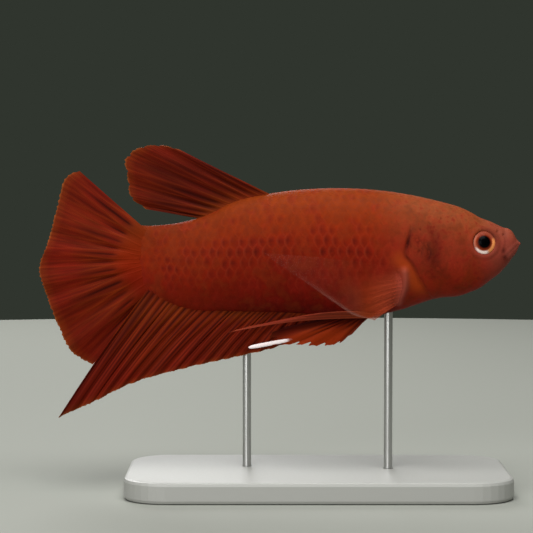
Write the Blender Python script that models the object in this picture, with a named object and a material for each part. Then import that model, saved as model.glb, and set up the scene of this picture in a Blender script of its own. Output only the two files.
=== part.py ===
"""Betta fish (Betta splendens, the short-finned plakat form), a still life-size model on a display stand.

Frame: metres, +Z up and +X towards the snout, so -Y is the fish's right side. The origin lies on the
surface that the stand rests on, under the middle of the fish's whole length.

The fish is laid out in shares of its standard length, the distance from the snout tip to the root of
the tail fin. "back" runs from the snout tip towards the tail, "out" from the midplane towards the
fish's left, and "up" from the level axis that runs through the middle of the flank.
"""

import math

import bmesh
import bpy
import numpy as np
from mathutils import Matrix, Vector

# Driving dimensions.
STANDARD_LENGTH = 0.055
TOTAL_LENGTH = 1.238 * STANDARD_LENGTH
AXIS_HEIGHT = 0.034
SNOUT_X = TOTAL_LENGTH / 2
GAP = 0.0003
FIN_THICKNESS = 0.00055

# The body's side outline and plan, as (back, up) and (back, half width).
BACK_LINE = (
    (0.000, 0.021), (0.013, 0.041), (0.030, 0.057), (0.075, 0.073), (0.126, 0.097), (0.203, 0.1265),
    (0.306, 0.149), (0.480, 0.162), (0.640, 0.148), (0.735, 0.126), (0.802, 0.090), (0.877, 0.0685),
    (0.950, 0.062), (0.985, 0.062), (1.010, 0.048), (1.030, 0.012),
)  # fmt: skip
BELLY_LINE = (
    (0.000, 0.013), (0.013, -0.009), (0.049, -0.056), (0.100, -0.093), (0.152, -0.115), (0.203, -0.123),
    (0.306, -0.154), (0.409, -0.178), (0.563, -0.165), (0.750, -0.160), (0.850, -0.156), (0.918, -0.138),
    (0.985, -0.108), (1.010, -0.086), (1.030, -0.050),
)  # fmt: skip
HALF_WIDTH = (
    (0.000, 0.009), (0.013, 0.025), (0.049, 0.045), (0.100, 0.061), (0.200, 0.078), (0.300, 0.086),
    (0.420, 0.0865), (0.560, 0.081), (0.730, 0.065), (0.877, 0.044), (0.959, 0.031), (1.000, 0.021),
    (1.030, 0.009),
)  # fmt: skip
WIDEST_SHARE = ((0.0, 0.46), (0.3, 0.50), (0.6, 0.56), (1.03, 0.54))
UPPER_ROUNDNESS = 2.15
LOWER_ROUNDNESS = ((0.0, 2.1), (0.4, 2.05), (0.8, 1.7), (1.03, 1.9))
RINGS, RING_POINTS = 36, 32
RING_CROWDING = 1.45

# Where the body is parted, as (back, up) lines seen from the side.
GAPE_CUT = ((-0.020, 0.037), (0.041, -0.017), (0.070, -0.062), (0.098, -0.130))
GILL_CUT = (
    (0.268, 0.200), (0.279, 0.060), (0.290, 0.020), (0.292, -0.010), (0.276, -0.030), (0.258, -0.058),
    (0.244, -0.100), (0.232, -0.200),
)  # fmt: skip
STALK_CUT = ((0.890, 0.150), (0.868, -0.030), (0.880, -0.220))

# The gill cover: its front and upper edge on the cheek, closed behind the head's own rear edge.
GILL_COVER_EDGE = (
    (0.330, 0.062), (0.226, 0.062), (0.219, 0.020), (0.220, -0.030), (0.198, -0.062), (0.176, -0.094),
    (0.330, -0.094),
)  # fmt: skip
GILL_COVER_THICKNESS = 0.001

# The eye is a flattened ball that looks out and a little forward.
EYE_PLACE = (0.0925, 0.0230)
EYE_RADIUS = 0.00172
EYE_DEPTH = 0.00105
EYE_CENTRE_OUT = 0.0028
EYE_TURN = math.radians(13)

# The stand.
BASE_LENGTH, BASE_WIDTH, BASE_THICKNESS = 0.054, 0.028, 0.003
BASE_CORNER, BASE_EDGE = 0.006, 0.0005
ROD_RADIUS, ROD_CLEARANCE, ROD_SIDES = 0.0006, 0.00015, 20
ROD_SEAT = 0.0018
FRONT_ROD = (0.335, 0.0, -0.1635)
REAR_ROD = (0.700, 0.040, -0.1230)

# The fins: the line they grow from and the line of their ray tips, each as (back, out, up).
CAUDAL_FIN = {
    "rays": 13,
    "root": ((0.955, 0.0, 0.050), (1.010, 0.0, -0.016), (0.966, 0.014, -0.086)),
    "margin": (
        (1.131, 0.010, 0.203), (1.171, 0.010, 0.178), (1.192, 0.006, 0.100), (1.213, 0.000, 0.020),
        (1.2355, -0.003, -0.052), (1.221, 0.000, -0.105), (1.190, 0.010, -0.185), (1.155, 0.020, -0.260),
        (1.099, 0.028, -0.296),
    ),
    "bow": (0.0, 0.006, 0.0),
    "notch": 0.035,
    "pleat": 0.00022,
}  # fmt: skip
DORSAL_FIN = {
    "rays": 9,
    "root": ((0.612, 0.0, 0.131), (0.710, 0.0, 0.112), (0.800, 0.0, 0.078)),
    "margin": (
        (0.872, -0.010, 0.261), (0.925, -0.008, 0.271), (0.975, -0.004, 0.265), (1.012, 0.000, 0.238),
        (1.008, 0.005, 0.190), (0.998, 0.009, 0.136), (0.960, 0.010, 0.107),
    ),
    "bow": (0.004, -0.006, 0.004),
    "notch": 0.045,
    "pleat": 0.0002,
}  # fmt: skip
ANAL_FIN = {
    "rays": 24,
    "root": ((0.470, 0.0, -0.150), (0.600, 0.0, -0.145), (0.800, 0.0, -0.137), (0.957, -0.010, -0.101)),
    "margin": (
        (0.545, 0.002, -0.210), (0.625, 0.001, -0.248), (0.715, -0.002, -0.270), (0.856, -0.008, -0.301),
        (1.005, -0.020, -0.344), (1.108, -0.030, -0.394), (1.180, -0.036, -0.426),
    ),
    "bow": (0.012, -0.007, 0.006),
    "notch": 0.03,
    "pleat": 0.0002,
}  # fmt: skip
PECTORAL_FIN = {
    "rays": 12,
    "root": ((0.297, 0.0925, -0.046), (0.291, 0.082, -0.090), (0.312, 0.057, -0.134)),
    "margin": (
        (0.655, 0.150, 0.000), (0.610, 0.146, -0.036), (0.545, 0.139, -0.080), (0.480, 0.130, -0.126),
        (0.430, 0.121, -0.158), (0.376, 0.108, -0.172),
    ),
    "bow": (0.0, 0.008, 0.004),
    "notch": 0.03,
    "pleat": 0.00012,
}  # fmt: skip
NEAR_PELVIC_FIN = {
    "rays": 4,
    "root": ((0.368, -0.026, -0.160), (0.398, -0.026, -0.160)),
    "margin": (
        (0.520, -0.048, -0.187), (0.585, -0.047, -0.186), (0.650, -0.044, -0.187), (0.722, -0.042, -0.198),
    ),
    "bow": (0.0, -0.024, 0.001),
    "notch": 0.02,
    "pleat": 0.0001,
}  # fmt: skip
FAR_PELVIC_FIN = {
    "rays": 5,
    "root": ((0.370, 0.010, -0.158), (0.402, 0.010, -0.158)),
    "margin": (
        (0.429, 0.006, -0.216), (0.452, 0.000, -0.234), (0.501, -0.010, -0.247), (0.560, -0.018, -0.243),
        (0.602, -0.022, -0.242), (0.699, -0.024, -0.250),
    ),
    "bow": (0.0, -0.006, 0.002),
    "notch": 0.10,
    "pleat": 0.0001,
}  # fmt: skip
FIN_ROWS = 6

# Finishes: base colour, roughness, metallic.
SKIN_RED = ((0.26, 0.035, 0.012), 0.42, 0.0)
HEAD_RED = ((0.28, 0.05, 0.02), 0.42, 0.0)
FIN_RED = ((0.12, 0.012, 0.006), 0.45, 0.0)
PALE_FIN = ((0.30, 0.07, 0.04), 0.40, 0.0)
IRIS_GOLD = ((0.55, 0.22, 0.12), 0.15, 0.0)
BASE_METAL = ((0.72, 0.72, 0.71), 0.35, 1.0)
ROD_METAL = ((0.60, 0.60, 0.60), 0.25, 1.0)


def clear_scene():
    """Removes every object."""
    for obj in list(bpy.data.objects):
        bpy.data.objects.remove(obj)


def curve_through(points, at):
    """The smooth curve through points of (x, value, ...), read at x = at."""
    table = np.array(points, float)
    x, values = table[:, 0], table[:, 1:]
    slopes = np.gradient(values, x, axis=0)
    i = int(np.clip(np.searchsorted(x, at) - 1, 0, len(x) - 2))
    step = x[i + 1] - x[i]
    s = (at - x[i]) / step
    return (
        (2 * s**3 - 3 * s**2 + 1) * values[i]
        + (s**3 - 2 * s**2 + s) * step * slopes[i]
        + (3 * s**2 - 2 * s**3) * values[i + 1]
        + (s**3 - s**2) * step * slopes[i + 1]
    )


def spread_along(points, share):
    """The place at a share of the length of the smooth curve through points."""
    places = np.array(points, float)
    steps = np.linalg.norm(np.diff(places, axis=0), axis=1)
    lengths = np.concatenate([[0.0], np.cumsum(steps)]) / steps.sum()
    return curve_through(np.column_stack([lengths, places]), share)


def place(back, out, up):
    """A place on the fish, in metres."""
    return Vector(
        (SNOUT_X - back * STANDARD_LENGTH, out * STANDARD_LENGTH, AXIS_HEIGHT + up * STANDARD_LENGTH)
    )


def finish(obj, look):
    """Gives the object a material of its own."""
    colour, roughness, metallic = look
    material = bpy.data.materials.new(obj.name)
    material.use_nodes = True
    shader = material.node_tree.nodes["Principled BSDF"]
    shader.inputs["Base Color"].default_value = (*colour, 1.0)
    shader.inputs["Roughness"].default_value = roughness
    shader.inputs["Metallic"].default_value = metallic
    obj.data.materials.clear()
    obj.data.materials.append(material)
    return obj


def add_object(name, shape):
    """Makes an object from a bmesh, with its normals facing out."""
    shape.normal_update()
    bmesh.ops.recalc_face_normals(shape, faces=shape.faces)
    mesh = bpy.data.meshes.new(name)
    shape.to_mesh(mesh)
    shape.free()
    obj = bpy.data.objects.new(name, mesh)
    bpy.context.scene.collection.objects.link(obj)
    return obj


def as_cutter(obj):
    """Keeps a helper out of the model."""
    obj.hide_render = True
    obj.display_type = "WIRE"
    return obj


def combine(obj, other, operation):
    """Adds a Boolean with another object."""
    boolean = obj.modifiers.new(other.name, "BOOLEAN")
    boolean.operation = operation
    boolean.solver = "EXACT"
    boolean.object = other
    return obj


def apply_modifiers(obj):
    """Turns what the modifiers make into the object's own mesh."""
    graph = bpy.context.evaluated_depsgraph_get()
    mesh = bpy.data.meshes.new_from_object(obj.evaluated_get(graph))
    obj.modifiers.clear()
    obj.data = mesh
    return obj


def section_ring(back, inset):
    """One cross-section of the body: a rounded egg, drawn in by inset metres."""
    top, bottom, half = (
        float(curve_through(line, back)[0]) for line in (BACK_LINE, BELLY_LINE, HALF_WIDTH)
    )
    widest = bottom + (top - bottom) * float(curve_through(WIDEST_SHARE, back)[0])
    lower = float(curve_through(LOWER_ROUNDNESS, back)[0])
    drawn_in = inset / STANDARD_LENGTH
    ring = []
    for i in range(RING_POINTS):
        angle = 2 * math.pi * i / RING_POINTS
        across, rise = math.cos(angle), math.sin(angle)
        roundness = UPPER_ROUNDNESS if rise >= 0 else lower
        reach = top - widest if rise >= 0 else widest - bottom
        out = math.copysign(abs(across) ** (2 / roundness), across) * (half - drawn_in)
        up = math.copysign(abs(rise) ** (2 / roundness), rise) * (reach - drawn_in)
        ring.append(place(back, out, widest + up))
    return ring


def body_solid(name, inset=0.0):
    """The whole body from snout to tail root, lofted ring by ring. A negative inset swells it."""
    first = max(inset, 0.0) / STANDARD_LENGTH
    last = BACK_LINE[-1][0] - max(inset, 0.0) / STANDARD_LENGTH
    shape = bmesh.new()
    circle = bmesh.ops.create_circle(shape, segments=RING_POINTS, radius=1.0)["verts"]
    edges = list(shape.edges)
    for vert, spot in zip(circle, section_ring(first, inset), strict=True):
        vert.co = spot
    ends = [edges]
    for i in range(1, RINGS + 1):
        back = first + (last - first) * (i / RINGS) ** RING_CROWDING
        made = bmesh.ops.extrude_edge_only(shape, edges=edges)["geom"]
        edges = [part for part in made if isinstance(part, bmesh.types.BMEdge)]
        new_verts = [part for part in made if isinstance(part, bmesh.types.BMVert)]
        for vert, spot in zip(new_verts, section_ring(back, inset), strict=True):
            vert.co = spot
    ends.append(edges)
    for loop in ends:
        bmesh.ops.edgeloop_fill(shape, edges=loop)
    if inset < 0:
        swell_ends(shape, -inset)
    return add_object(name, shape)


def swell_ends(shape, by):
    """Moves the two end caps of a swollen body outwards along the axis."""
    nose, tail = SNOUT_X, place(BACK_LINE[-1][0], 0, 0).x
    for vert in shape.verts:
        if vert.co.x > nose - 1e-6:
            vert.co.x += by
        elif vert.co.x < tail + 1e-6:
            vert.co.x -= by


def thin_wall(name, line, half_width):
    """A thin sheet across the body that follows a line seen from the side. It parts what it crosses."""
    shape = bmesh.new()
    rows = []
    for side in (-1, 1):
        spots = [place(back, 0, up) for back, up in line]
        rows.append([shape.verts.new(spot + Vector((0, side * half_width, 0))) for spot in spots])
    for i in range(len(line) - 1):
        shape.faces.new((rows[0][i], rows[0][i + 1], rows[1][i + 1], rows[1][i]))
    wall = add_object(name, shape)
    solidify = wall.modifiers.new("thickness", "SOLIDIFY")
    solidify.thickness = GAP
    solidify.offset = 0
    return as_cutter(wall)


def prism(name, outline, near, far, swell=0.0):
    """A block with a side outline of (back, up) points, from out = near to far metres."""
    shape = bmesh.new()
    middle = sum((place(back, 0, up) for back, up in outline), Vector()) / len(outline)
    verts = []
    for back, up in outline:
        spot = place(back, 0, up)
        spot += (spot - middle).normalized() * swell
        verts.append(shape.verts.new(Vector((spot.x, near, spot.z))))
    face = shape.faces.new(verts)
    made = bmesh.ops.extrude_face_region(shape, geom=[face])["geom"]
    moved = [part for part in made if isinstance(part, bmesh.types.BMVert)]
    bmesh.ops.translate(shape, verts=moved, vec=Vector((0, far - near, 0)))
    return as_cutter(add_object(name, shape))


def ball(name, centre, radii, turn, segments=(16, 10)):
    """A flattened ball whose pole looks sideways, turned about the vertical."""
    shape = bmesh.new()
    bmesh.ops.create_uvsphere(shape, u_segments=segments[0], v_segments=segments[1], radius=1.0)
    flatten = Matrix.Diagonal((radii[0], radii[0], radii[1], 1.0))
    aim = Matrix.Rotation(turn, 4, "Z") @ Matrix.Rotation(math.pi / 2, 4, "X")
    bmesh.ops.transform(shape, matrix=Matrix.Translation(centre) @ aim @ flatten, verts=shape.verts)
    return add_object(name, shape)


def rod(name, spot, sides_radius, bottom, top):
    """An upright round bar."""
    shape = bmesh.new()
    bmesh.ops.create_cone(
        shape, cap_ends=True, segments=ROD_SIDES, radius1=sides_radius, radius2=sides_radius, depth=top - bottom
    )
    bmesh.ops.translate(shape, verts=shape.verts, vec=Vector((spot.x, spot.y, (top + bottom) / 2)))
    return add_object(name, shape)


def part_the_body():
    """Parts the whole body with thin cuts into tail stalk, trunk, head and lower jaw."""
    whole = body_solid("body")
    half = STANDARD_LENGTH / 5
    for name, line in (("gape_cut", GAPE_CUT), ("gill_cut", GILL_CUT), ("stalk_cut", STALK_CUT)):
        combine(whole, thin_wall(name, line, half), "DIFFERENCE")
    apply_modifiers(whole)
    bpy.ops.object.select_all(action="DESELECT")
    whole.select_set(True)
    bpy.context.view_layer.objects.active = whole
    bpy.ops.mesh.separate(type="LOOSE")
    pieces = sorted(
        bpy.context.selected_objects,
        key=lambda piece: sum(vert.co.x for vert in piece.data.vertices) / len(piece.data.vertices),
    )
    names = ("tail_stalk", "trunk", "head", "lower_jaw")
    for piece, name in zip(pieces, names, strict=True):
        piece.name = name
    return dict(zip(names, pieces, strict=True))


def add_gill_cover(head, name, side):
    """Cuts a thin plate out of the head's side, and a bed for it a gap deeper."""
    far = side * STANDARD_LENGTH / 5
    plate = head.copy()
    plate.data = head.data.copy()
    plate.name = name
    bpy.context.scene.collection.objects.link(plate)
    combine(plate, prism(name + "_outline", GILL_COVER_EDGE, 0.0, far), "INTERSECT")
    combine(plate, as_cutter(body_solid(name + "_inside", GILL_COVER_THICKNESS)), "DIFFERENCE")
    bed = prism(name + "_bed", GILL_COVER_EDGE, 0.0, far, swell=GAP)
    combine(bed, as_cutter(body_solid(name + "_bed_floor", GILL_COVER_THICKNESS + GAP)), "DIFFERENCE")
    return plate, bed


def add_eye(name, side):
    """An eye and the hollow that it sits in."""
    back, up = EYE_PLACE
    centre = place(back, 0, up) + Vector((0, side * EYE_CENTRE_OUT, 0))
    eye = ball(name, centre, (EYE_RADIUS, EYE_DEPTH), -side * EYE_TURN)
    hollow = ball(name + "_hollow", centre, (EYE_RADIUS + GAP, EYE_DEPTH + GAP), -side * EYE_TURN)
    return eye, as_cutter(hollow)


def add_fin(name, design, clear_of, mirror=1):
    """A fin: a pleated sheet of rays and webs, thickened, and cut back from the body by a gap.

    The rays run from the root line to the margin line. Every second column is the web between two
    rays, which ends short of the ray tips and lies to one side of them.
    """
    columns = 2 * design["rays"] - 1
    shape = bmesh.new()
    bmesh.ops.create_grid(shape, x_segments=columns - 1, y_segments=FIN_ROWS - 1, size=0.5)
    for vert in shape.verts:
        column = round((vert.co.x + 0.5) * (columns - 1))
        reach = vert.co.y + 0.5
        is_web = column % 2
        across = column / (columns - 1)
        start = spread_along(design["root"], across)
        end = spread_along(design["margin"], across)
        reached = reach * (1 - design["notch"] * is_web)
        spot = start + (end - start) * reached
        spot += np.array(design["bow"]) * math.sin(math.pi * reached)
        vert.co = place(spot[0], spot[1] * mirror, spot[2])
        vert.co.y += design["pleat"] * reach * (1 if is_web else -1)
    fin = add_object(name, shape)
    thickness = fin.modifiers.new("thickness", "SOLIDIFY")
    thickness.thickness = FIN_THICKNESS
    thickness.offset = 0
    combine(fin, clear_of, "DIFFERENCE")
    return fin


def add_base():
    """The stand's flat base: a plate with round corners and softened edges."""
    middle_x = (place(*FRONT_ROD).x + place(*REAR_ROD).x) / 2
    shape = bmesh.new()
    bmesh.ops.create_cube(shape, size=1.0)
    bmesh.ops.scale(shape, verts=shape.verts, vec=Vector((BASE_LENGTH, BASE_WIDTH, BASE_THICKNESS)))
    bmesh.ops.translate(shape, verts=shape.verts, vec=Vector((middle_x, 0, BASE_THICKNESS / 2)))
    upright = [edge for edge in shape.edges if abs(edge.verts[0].co.z - edge.verts[1].co.z) > GAP]
    bmesh.ops.bevel(shape, geom=upright, offset=BASE_CORNER, segments=8, profile=0.5, affect="EDGES")
    rims = [edge for edge in shape.edges if abs(edge.verts[0].co.z - edge.verts[1].co.z) < GAP]
    bmesh.ops.bevel(shape, geom=rims, offset=BASE_EDGE, segments=2, profile=0.5, affect="EDGES")
    return add_object("stand_base", shape)


def add_stand(trunk):
    """The base and two rods, each seated in the base and in the belly with a little play."""
    base = add_base()
    for name, design in (("stand_rod_front", FRONT_ROD), ("stand_rod_rear", REAR_ROD)):
        spot = place(*design)
        low, high = BASE_THICKNESS - ROD_SEAT, spot.z + ROD_SEAT
        bar = rod(name, spot, ROD_RADIUS, low, high)
        finish(bar, ROD_METAL)
        seat = rod(name + "_seat", spot, ROD_RADIUS + ROD_CLEARANCE, low - ROD_CLEARANCE, high + GAP)
        combine(base, as_cutter(seat), "DIFFERENCE")
        combine(trunk, seat, "DIFFERENCE")
    finish(base, BASE_METAL)


def shade_all():
    """Shades the round pieces smooth, with their sharp edges kept."""
    for obj in bpy.context.scene.objects:
        obj.data.shade_smooth()
        obj.data.set_sharp_from_angle(angle=math.radians(35))


def main():
    clear_scene()
    flesh = part_the_body()
    head = flesh["head"]
    plates = []
    hollows = []
    for label, side in (("left", 1), ("right", -1)):
        plate, bed = add_gill_cover(head, f"gill_cover_{label}", side)
        eye, hollow = add_eye(f"eye_{label}", side)
        plates.append(plate)
        hollows += [bed, hollow]
        finish(eye, IRIS_GOLD)
    for hollow in hollows:
        combine(head, hollow, "DIFFERENCE")
    swollen = as_cutter(body_solid("body_and_gap", -GAP))
    for name, design, mirror, look in (
        ("caudal_fin", CAUDAL_FIN, 1, FIN_RED),
        ("dorsal_fin", DORSAL_FIN, 1, FIN_RED),
        ("anal_fin", ANAL_FIN, 1, FIN_RED),
        ("pectoral_fin_left", PECTORAL_FIN, 1, PALE_FIN),
        ("pectoral_fin_right", PECTORAL_FIN, -1, PALE_FIN),
        ("pelvic_fin_left", FAR_PELVIC_FIN, 1, FIN_RED),
        ("pelvic_fin_right", NEAR_PELVIC_FIN, 1, FIN_RED),
    ):
        finish(add_fin(name, design, swollen, mirror), look)
    add_stand(flesh["trunk"])
    for piece in (*flesh.values(), *plates):
        finish(piece, HEAD_RED if piece in (head, flesh["lower_jaw"], *plates) else SKIN_RED)
    shade_all()


main()
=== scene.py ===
"""The looks of the betta fish: scaled hide, rayed fins, eyes, and the finish of the display stand.

The fish is laid out in shares of its standard length, which runs from the snout tip to the tail root.
"back" is counted from the snout tip, "up" from the level axis of the flank, and "out" from the
midplane towards the fish's left. "around" goes round the body: 0 at the belly, a quarter on the right
flank, a half at the back and three quarters on the left flank.
"""

import logging
import math
from dataclasses import dataclass, field, replace
from enum import Enum
from typing import Any

import bpy
import numpy as np
from mathutils import Matrix, Vector


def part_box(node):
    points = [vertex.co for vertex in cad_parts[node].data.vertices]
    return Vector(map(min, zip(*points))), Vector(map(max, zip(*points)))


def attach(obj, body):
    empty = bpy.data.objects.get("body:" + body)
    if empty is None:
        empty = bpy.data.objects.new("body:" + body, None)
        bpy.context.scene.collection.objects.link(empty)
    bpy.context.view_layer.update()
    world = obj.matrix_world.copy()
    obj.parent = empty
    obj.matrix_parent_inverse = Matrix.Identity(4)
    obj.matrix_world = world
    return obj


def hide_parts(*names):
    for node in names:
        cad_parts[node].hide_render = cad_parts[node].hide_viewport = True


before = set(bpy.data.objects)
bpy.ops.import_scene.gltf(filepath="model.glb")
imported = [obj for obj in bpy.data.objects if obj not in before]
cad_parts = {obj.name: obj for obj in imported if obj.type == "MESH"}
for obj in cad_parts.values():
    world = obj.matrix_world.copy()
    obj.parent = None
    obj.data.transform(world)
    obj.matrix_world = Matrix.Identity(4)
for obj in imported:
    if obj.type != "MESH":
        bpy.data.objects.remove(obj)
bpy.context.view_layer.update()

log = logging.getLogger("betta")

Array = np.ndarray
Ramp = tuple[tuple[float, str], ...]

MM = 0.001

# The body's side outline and plan, as (back, up) and (back, half width).
BACK_LINE = (
    (0.0, 0.021), (0.006, 0.0285), (0.018, 0.0485), (0.0283, 0.056), (0.0386, 0.0578),
    (0.0488, 0.062), (0.075, 0.0745), (0.09, 0.0798), (0.1003, 0.0838), (0.126, 0.099),
    (0.1517, 0.111), (0.203, 0.127), (0.306, 0.149), (0.48, 0.1615), (0.64, 0.1475),
    (0.735, 0.126), (0.802, 0.093), (0.877, 0.072), (0.95, 0.065), (0.985, 0.064),
    (1.01, 0.048), (1.03, 0.012),
)
BELLY_LINE = (
    (0.0, 0.013), (0.0077, -0.0064), (0.018, -0.02), (0.0283, -0.035), (0.0386, -0.0465),
    (0.0488, -0.058), (0.0591, -0.0662), (0.0797, -0.0818), (0.1003, -0.097), (0.1208, -0.106),
    (0.1517, -0.1175), (0.203, -0.124), (0.306, -0.156), (0.409, -0.178), (0.563, -0.165),
    (0.75, -0.16), (0.85, -0.156), (0.918, -0.138), (0.985, -0.108), (1.01, -0.086),
    (1.03, -0.05),
)
HALF_WIDTH = (
    (0.0, 0.009), (0.013, 0.025), (0.049, 0.045), (0.1, 0.061), (0.2, 0.078), (0.3, 0.086),
    (0.42, 0.0865), (0.56, 0.081), (0.73, 0.064), (0.877, 0.04), (0.935, 0.024), (0.975, 0.0112),
    (1.0, 0.0052), (1.03, 0.002),
)
# How high the body is widest, as a share of its depth, and how square its upper and lower halves are.
WIDEST_SHARE = ((0.0, 0.46), (0.3, 0.5), (0.6, 0.56), (1.03, 0.54))
UPPER_ROUNDNESS = 2.15
LOWER_ROUNDNESS = ((0.0, 2.1), (0.4, 2.05), (0.8, 1.7), (1.03, 1.9))
# The rear end of the body, the centre of the frame's eye, and that of the eyeball which replaces it.
BODY_END = 1.03
EYE_BACK, EYE_UP = 0.0925, 0.0230
BALL_BACK, BALL_UP = 0.095, 0.0214

# Lines on the head's side, as (back, up).
GAPE_LINE = ((-0.004, 0.0185), (0.012, 0.008), (0.028, -0.006), (0.04, -0.0175))
LIP_FOLD = ((0.04, 0.05), (0.0385, 0.022), (0.045, -0.004))
GILL_EDGE = (
    (0.2, -0.14), (0.234, -0.108), (0.254, -0.077), (0.27, -0.046), (0.281, -0.026), (0.2965, -0.008),
    (0.292, 0.01), (0.285, 0.04), (0.2815, 0.057), (0.275, 0.08),
)
FIN_BASE = ((0.302, -0.032), (0.2975, -0.062), (0.299, -0.0925), (0.308, -0.1157), (0.317, -0.144))
CHEEK_GROOVE = ((0.226, 0.058), (0.2185, 0.005), (0.221, -0.033), (0.203, -0.056), (0.167, -0.092))
COVER_CREASES = (
    ((0.277, 0.037), (0.262, 0.022), (0.258, 0.004), (0.268, -0.018)),
    ((0.252, 0.034), (0.243, 0.014), (0.236, -0.004), (0.245, -0.032)),
    ((0.248, -0.05), (0.229, -0.064), (0.214, -0.078)),
)


class Side(Enum):
    """The two sides of the fish, with the way that each faces along Y."""

    RIGHT = -1
    LEFT = 1


def linear(code: str) -> tuple[float, float, float, float]:
    """Turns an sRGB hex colour to linear light.

    Args:
        code: the colour, such as "#a03010".

    Returns:
        Red, green, blue and an alpha of 1.
    """
    shares = [int(code[i : i + 2], 16) / 255 for i in (1, 3, 5)]
    red, green, blue = (c / 12.92 if c <= 0.04045 else ((c + 0.055) / 1.055) ** 2.4 for c in shares)
    return red, green, blue, 1.0


def add_node(
    tree: bpy.types.NodeTree,
    kind: str,
    settings: dict[str, Any] | None = None,
    inputs: dict[str | int, Any] | None = None,
) -> bpy.types.Node:
    """Adds a node with its settings and links.

    Args:
        tree: the material's node tree.
        kind: the node's type name.
        settings: the node's own properties, and a colour ramp's stops.
        inputs: a value for each input, or the output that is linked to it.

    Returns:
        The new node.
    """
    made = tree.nodes.new(kind)
    for name, value in (settings or {}).items():
        if name == "stops":
            fill_stops(made.color_ramp, value)
        else:
            setattr(made, name, value)
    for key, value in (inputs or {}).items():
        if isinstance(value, bpy.types.NodeSocket):
            tree.links.new(value, made.inputs[key])
        else:
            made.inputs[key].default_value = value
    return made


def fill_stops(ramp: bpy.types.ColorRamp, stops: Ramp) -> None:
    """Gives a colour ramp its stops, from left to right.

    Args:
        ramp: the colour ramp.
        stops: each stop's position and sRGB hex colour.
    """
    while len(ramp.elements) < len(stops):
        ramp.elements.new(1.0)
    for element, (position, code) in zip(ramp.elements, stops, strict=True):
        element.position = position
        element.color = linear(code)


@dataclass(frozen=True)
class Finish:
    """A finish, which is made as one material.

    Attributes:
        name: the material's name.
    """

    name: str

    def surface(self, tree: bpy.types.NodeTree) -> dict[str, Any]:
        """Lays out the pattern, and gives the shader's settings and links."""
        raise NotImplementedError

    def make(self) -> bpy.types.Material:
        """Builds the material.

        Returns:
            The material.
        """
        material = bpy.data.materials.new(self.name)
        material.use_nodes = True
        tree = material.node_tree
        tree.nodes.clear()
        shader = add_node(tree, "ShaderNodeBsdfPrincipled", inputs=self.surface(tree))
        add_node(tree, "ShaderNodeOutputMaterial", inputs={"Surface": shader.outputs[0]})
        return material


@dataclass(frozen=True)
class Layer:
    """A layer of pigment over the colours below it.

    Attributes:
        mask: where it lies, 0 to 1.
        share: how strong it is where the mask is 1.
        colour: its colour, as a hex code or a node's output.
        blend: how it mixes with the colours below.
    """

    mask: Any
    share: float
    colour: Any
    blend: str = "MIX"


def paint(tree: bpy.types.NodeTree, base: Any, layers: tuple[Layer, ...]) -> bpy.types.NodeSocket:
    """Lays layers of pigment over one another.

    Args:
        tree: the material's node tree.
        base: the lowest colour.
        layers: the layers, from the lowest up.

    Returns:
        The colour on top.
    """
    colour = base
    for layer in layers:
        strength = add_node(
            tree,
            "ShaderNodeMath",
            {"operation": "MULTIPLY", "use_clamp": True},
            {0: layer.mask, 1: layer.share},
        ).outputs[0]
        over = linear(layer.colour) if isinstance(layer.colour, str) else layer.colour
        colour = add_node(
            tree,
            "ShaderNodeMix",
            {"data_type": "RGBA", "blend_type": layer.blend},
            {0: strength, 6: colour, 7: over},
        ).outputs[2]
    return colour


def curve_through(points: Any, at: Any) -> Array:
    """Reads a smooth curve through points.

    Args:
        points: rows of (x, value, ...), in order of x.
        at: the places along x to read.

    Returns:
        One row of values for each place.
    """
    table = np.asarray(points, float)
    x, values = table[:, 0], table[:, 1:]
    slopes = np.gradient(values, x, axis=0)
    at = np.clip(np.atleast_1d(np.asarray(at, float)), x[0], x[-1])
    i = np.clip(np.searchsorted(x, at) - 1, 0, len(x) - 2)
    step = (x[i + 1] - x[i])[:, None]
    s = (at - x[i])[:, None] / step
    return (
        (2 * s**3 - 3 * s**2 + 1) * values[i]
        + (s**3 - 2 * s**2 + s) * step * slopes[i]
        + (3 * s**2 - 2 * s**3) * values[i + 1]
        + (s**3 - s**2) * step * slopes[i + 1]
    )


def spread_along(points: Any, share: Array) -> Array:
    """Reads the smooth curve through points at shares of its length.

    Args:
        points: the points.
        share: the shares, 0 to 1.

    Returns:
        One row for each share.
    """
    places = np.asarray(points, float)
    steps = np.linalg.norm(np.diff(places, axis=0), axis=1)
    lengths = np.concatenate([[0.0], np.cumsum(steps)]) / steps.sum()
    return curve_through(np.column_stack([lengths, places]), share)


def smooth_step(low: float, high: float, value: Array) -> Array:
    """Rises smoothly from 0 at low to 1 at high, or falls where low is the larger."""
    s = np.clip((value - low) / (high - low), 0.0, 1.0)
    return s * s * (3 - 2 * s)


def hump(distance: Array, width: float) -> Array:
    """A smooth hump: 1 where the distance is 0, and next to nothing past twice the width."""
    return np.exp(-((distance / width) ** 2))


def distance_to_line(x: Array, z: Array, line: Any) -> tuple[Array, Array]:
    """Measures how far points lie from a line of straight stretches.

    Args:
        x: the points' first coordinate.
        z: the points' second coordinate.
        line: rows of (x, z).

    Returns:
        The distance to the line, and the share of the line's stretches passed at its nearest point.
    """
    ends = np.asarray(line, float)
    best = np.full(x.shape, np.inf)
    passed = np.zeros(x.shape)
    for i, ((ax, az), (bx, bz)) in enumerate(zip(ends[:-1], ends[1:], strict=True)):
        dx, dz = bx - ax, bz - az
        s = np.clip(((x - ax) * dx + (z - az) * dz) / (dx * dx + dz * dz), 0.0, 1.0)
        found = np.hypot(x - ax - s * dx, z - az - s * dz)
        nearer = found < best
        best = np.where(nearer, found, best)
        passed = np.where(nearer, (i + s) / (len(ends) - 1), passed)
    return best, passed


def deselect_all() -> None:
    """Deselects every object: the frame's nodes come in selected."""
    bpy.ops.object.select_all(action="DESELECT")


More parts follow.
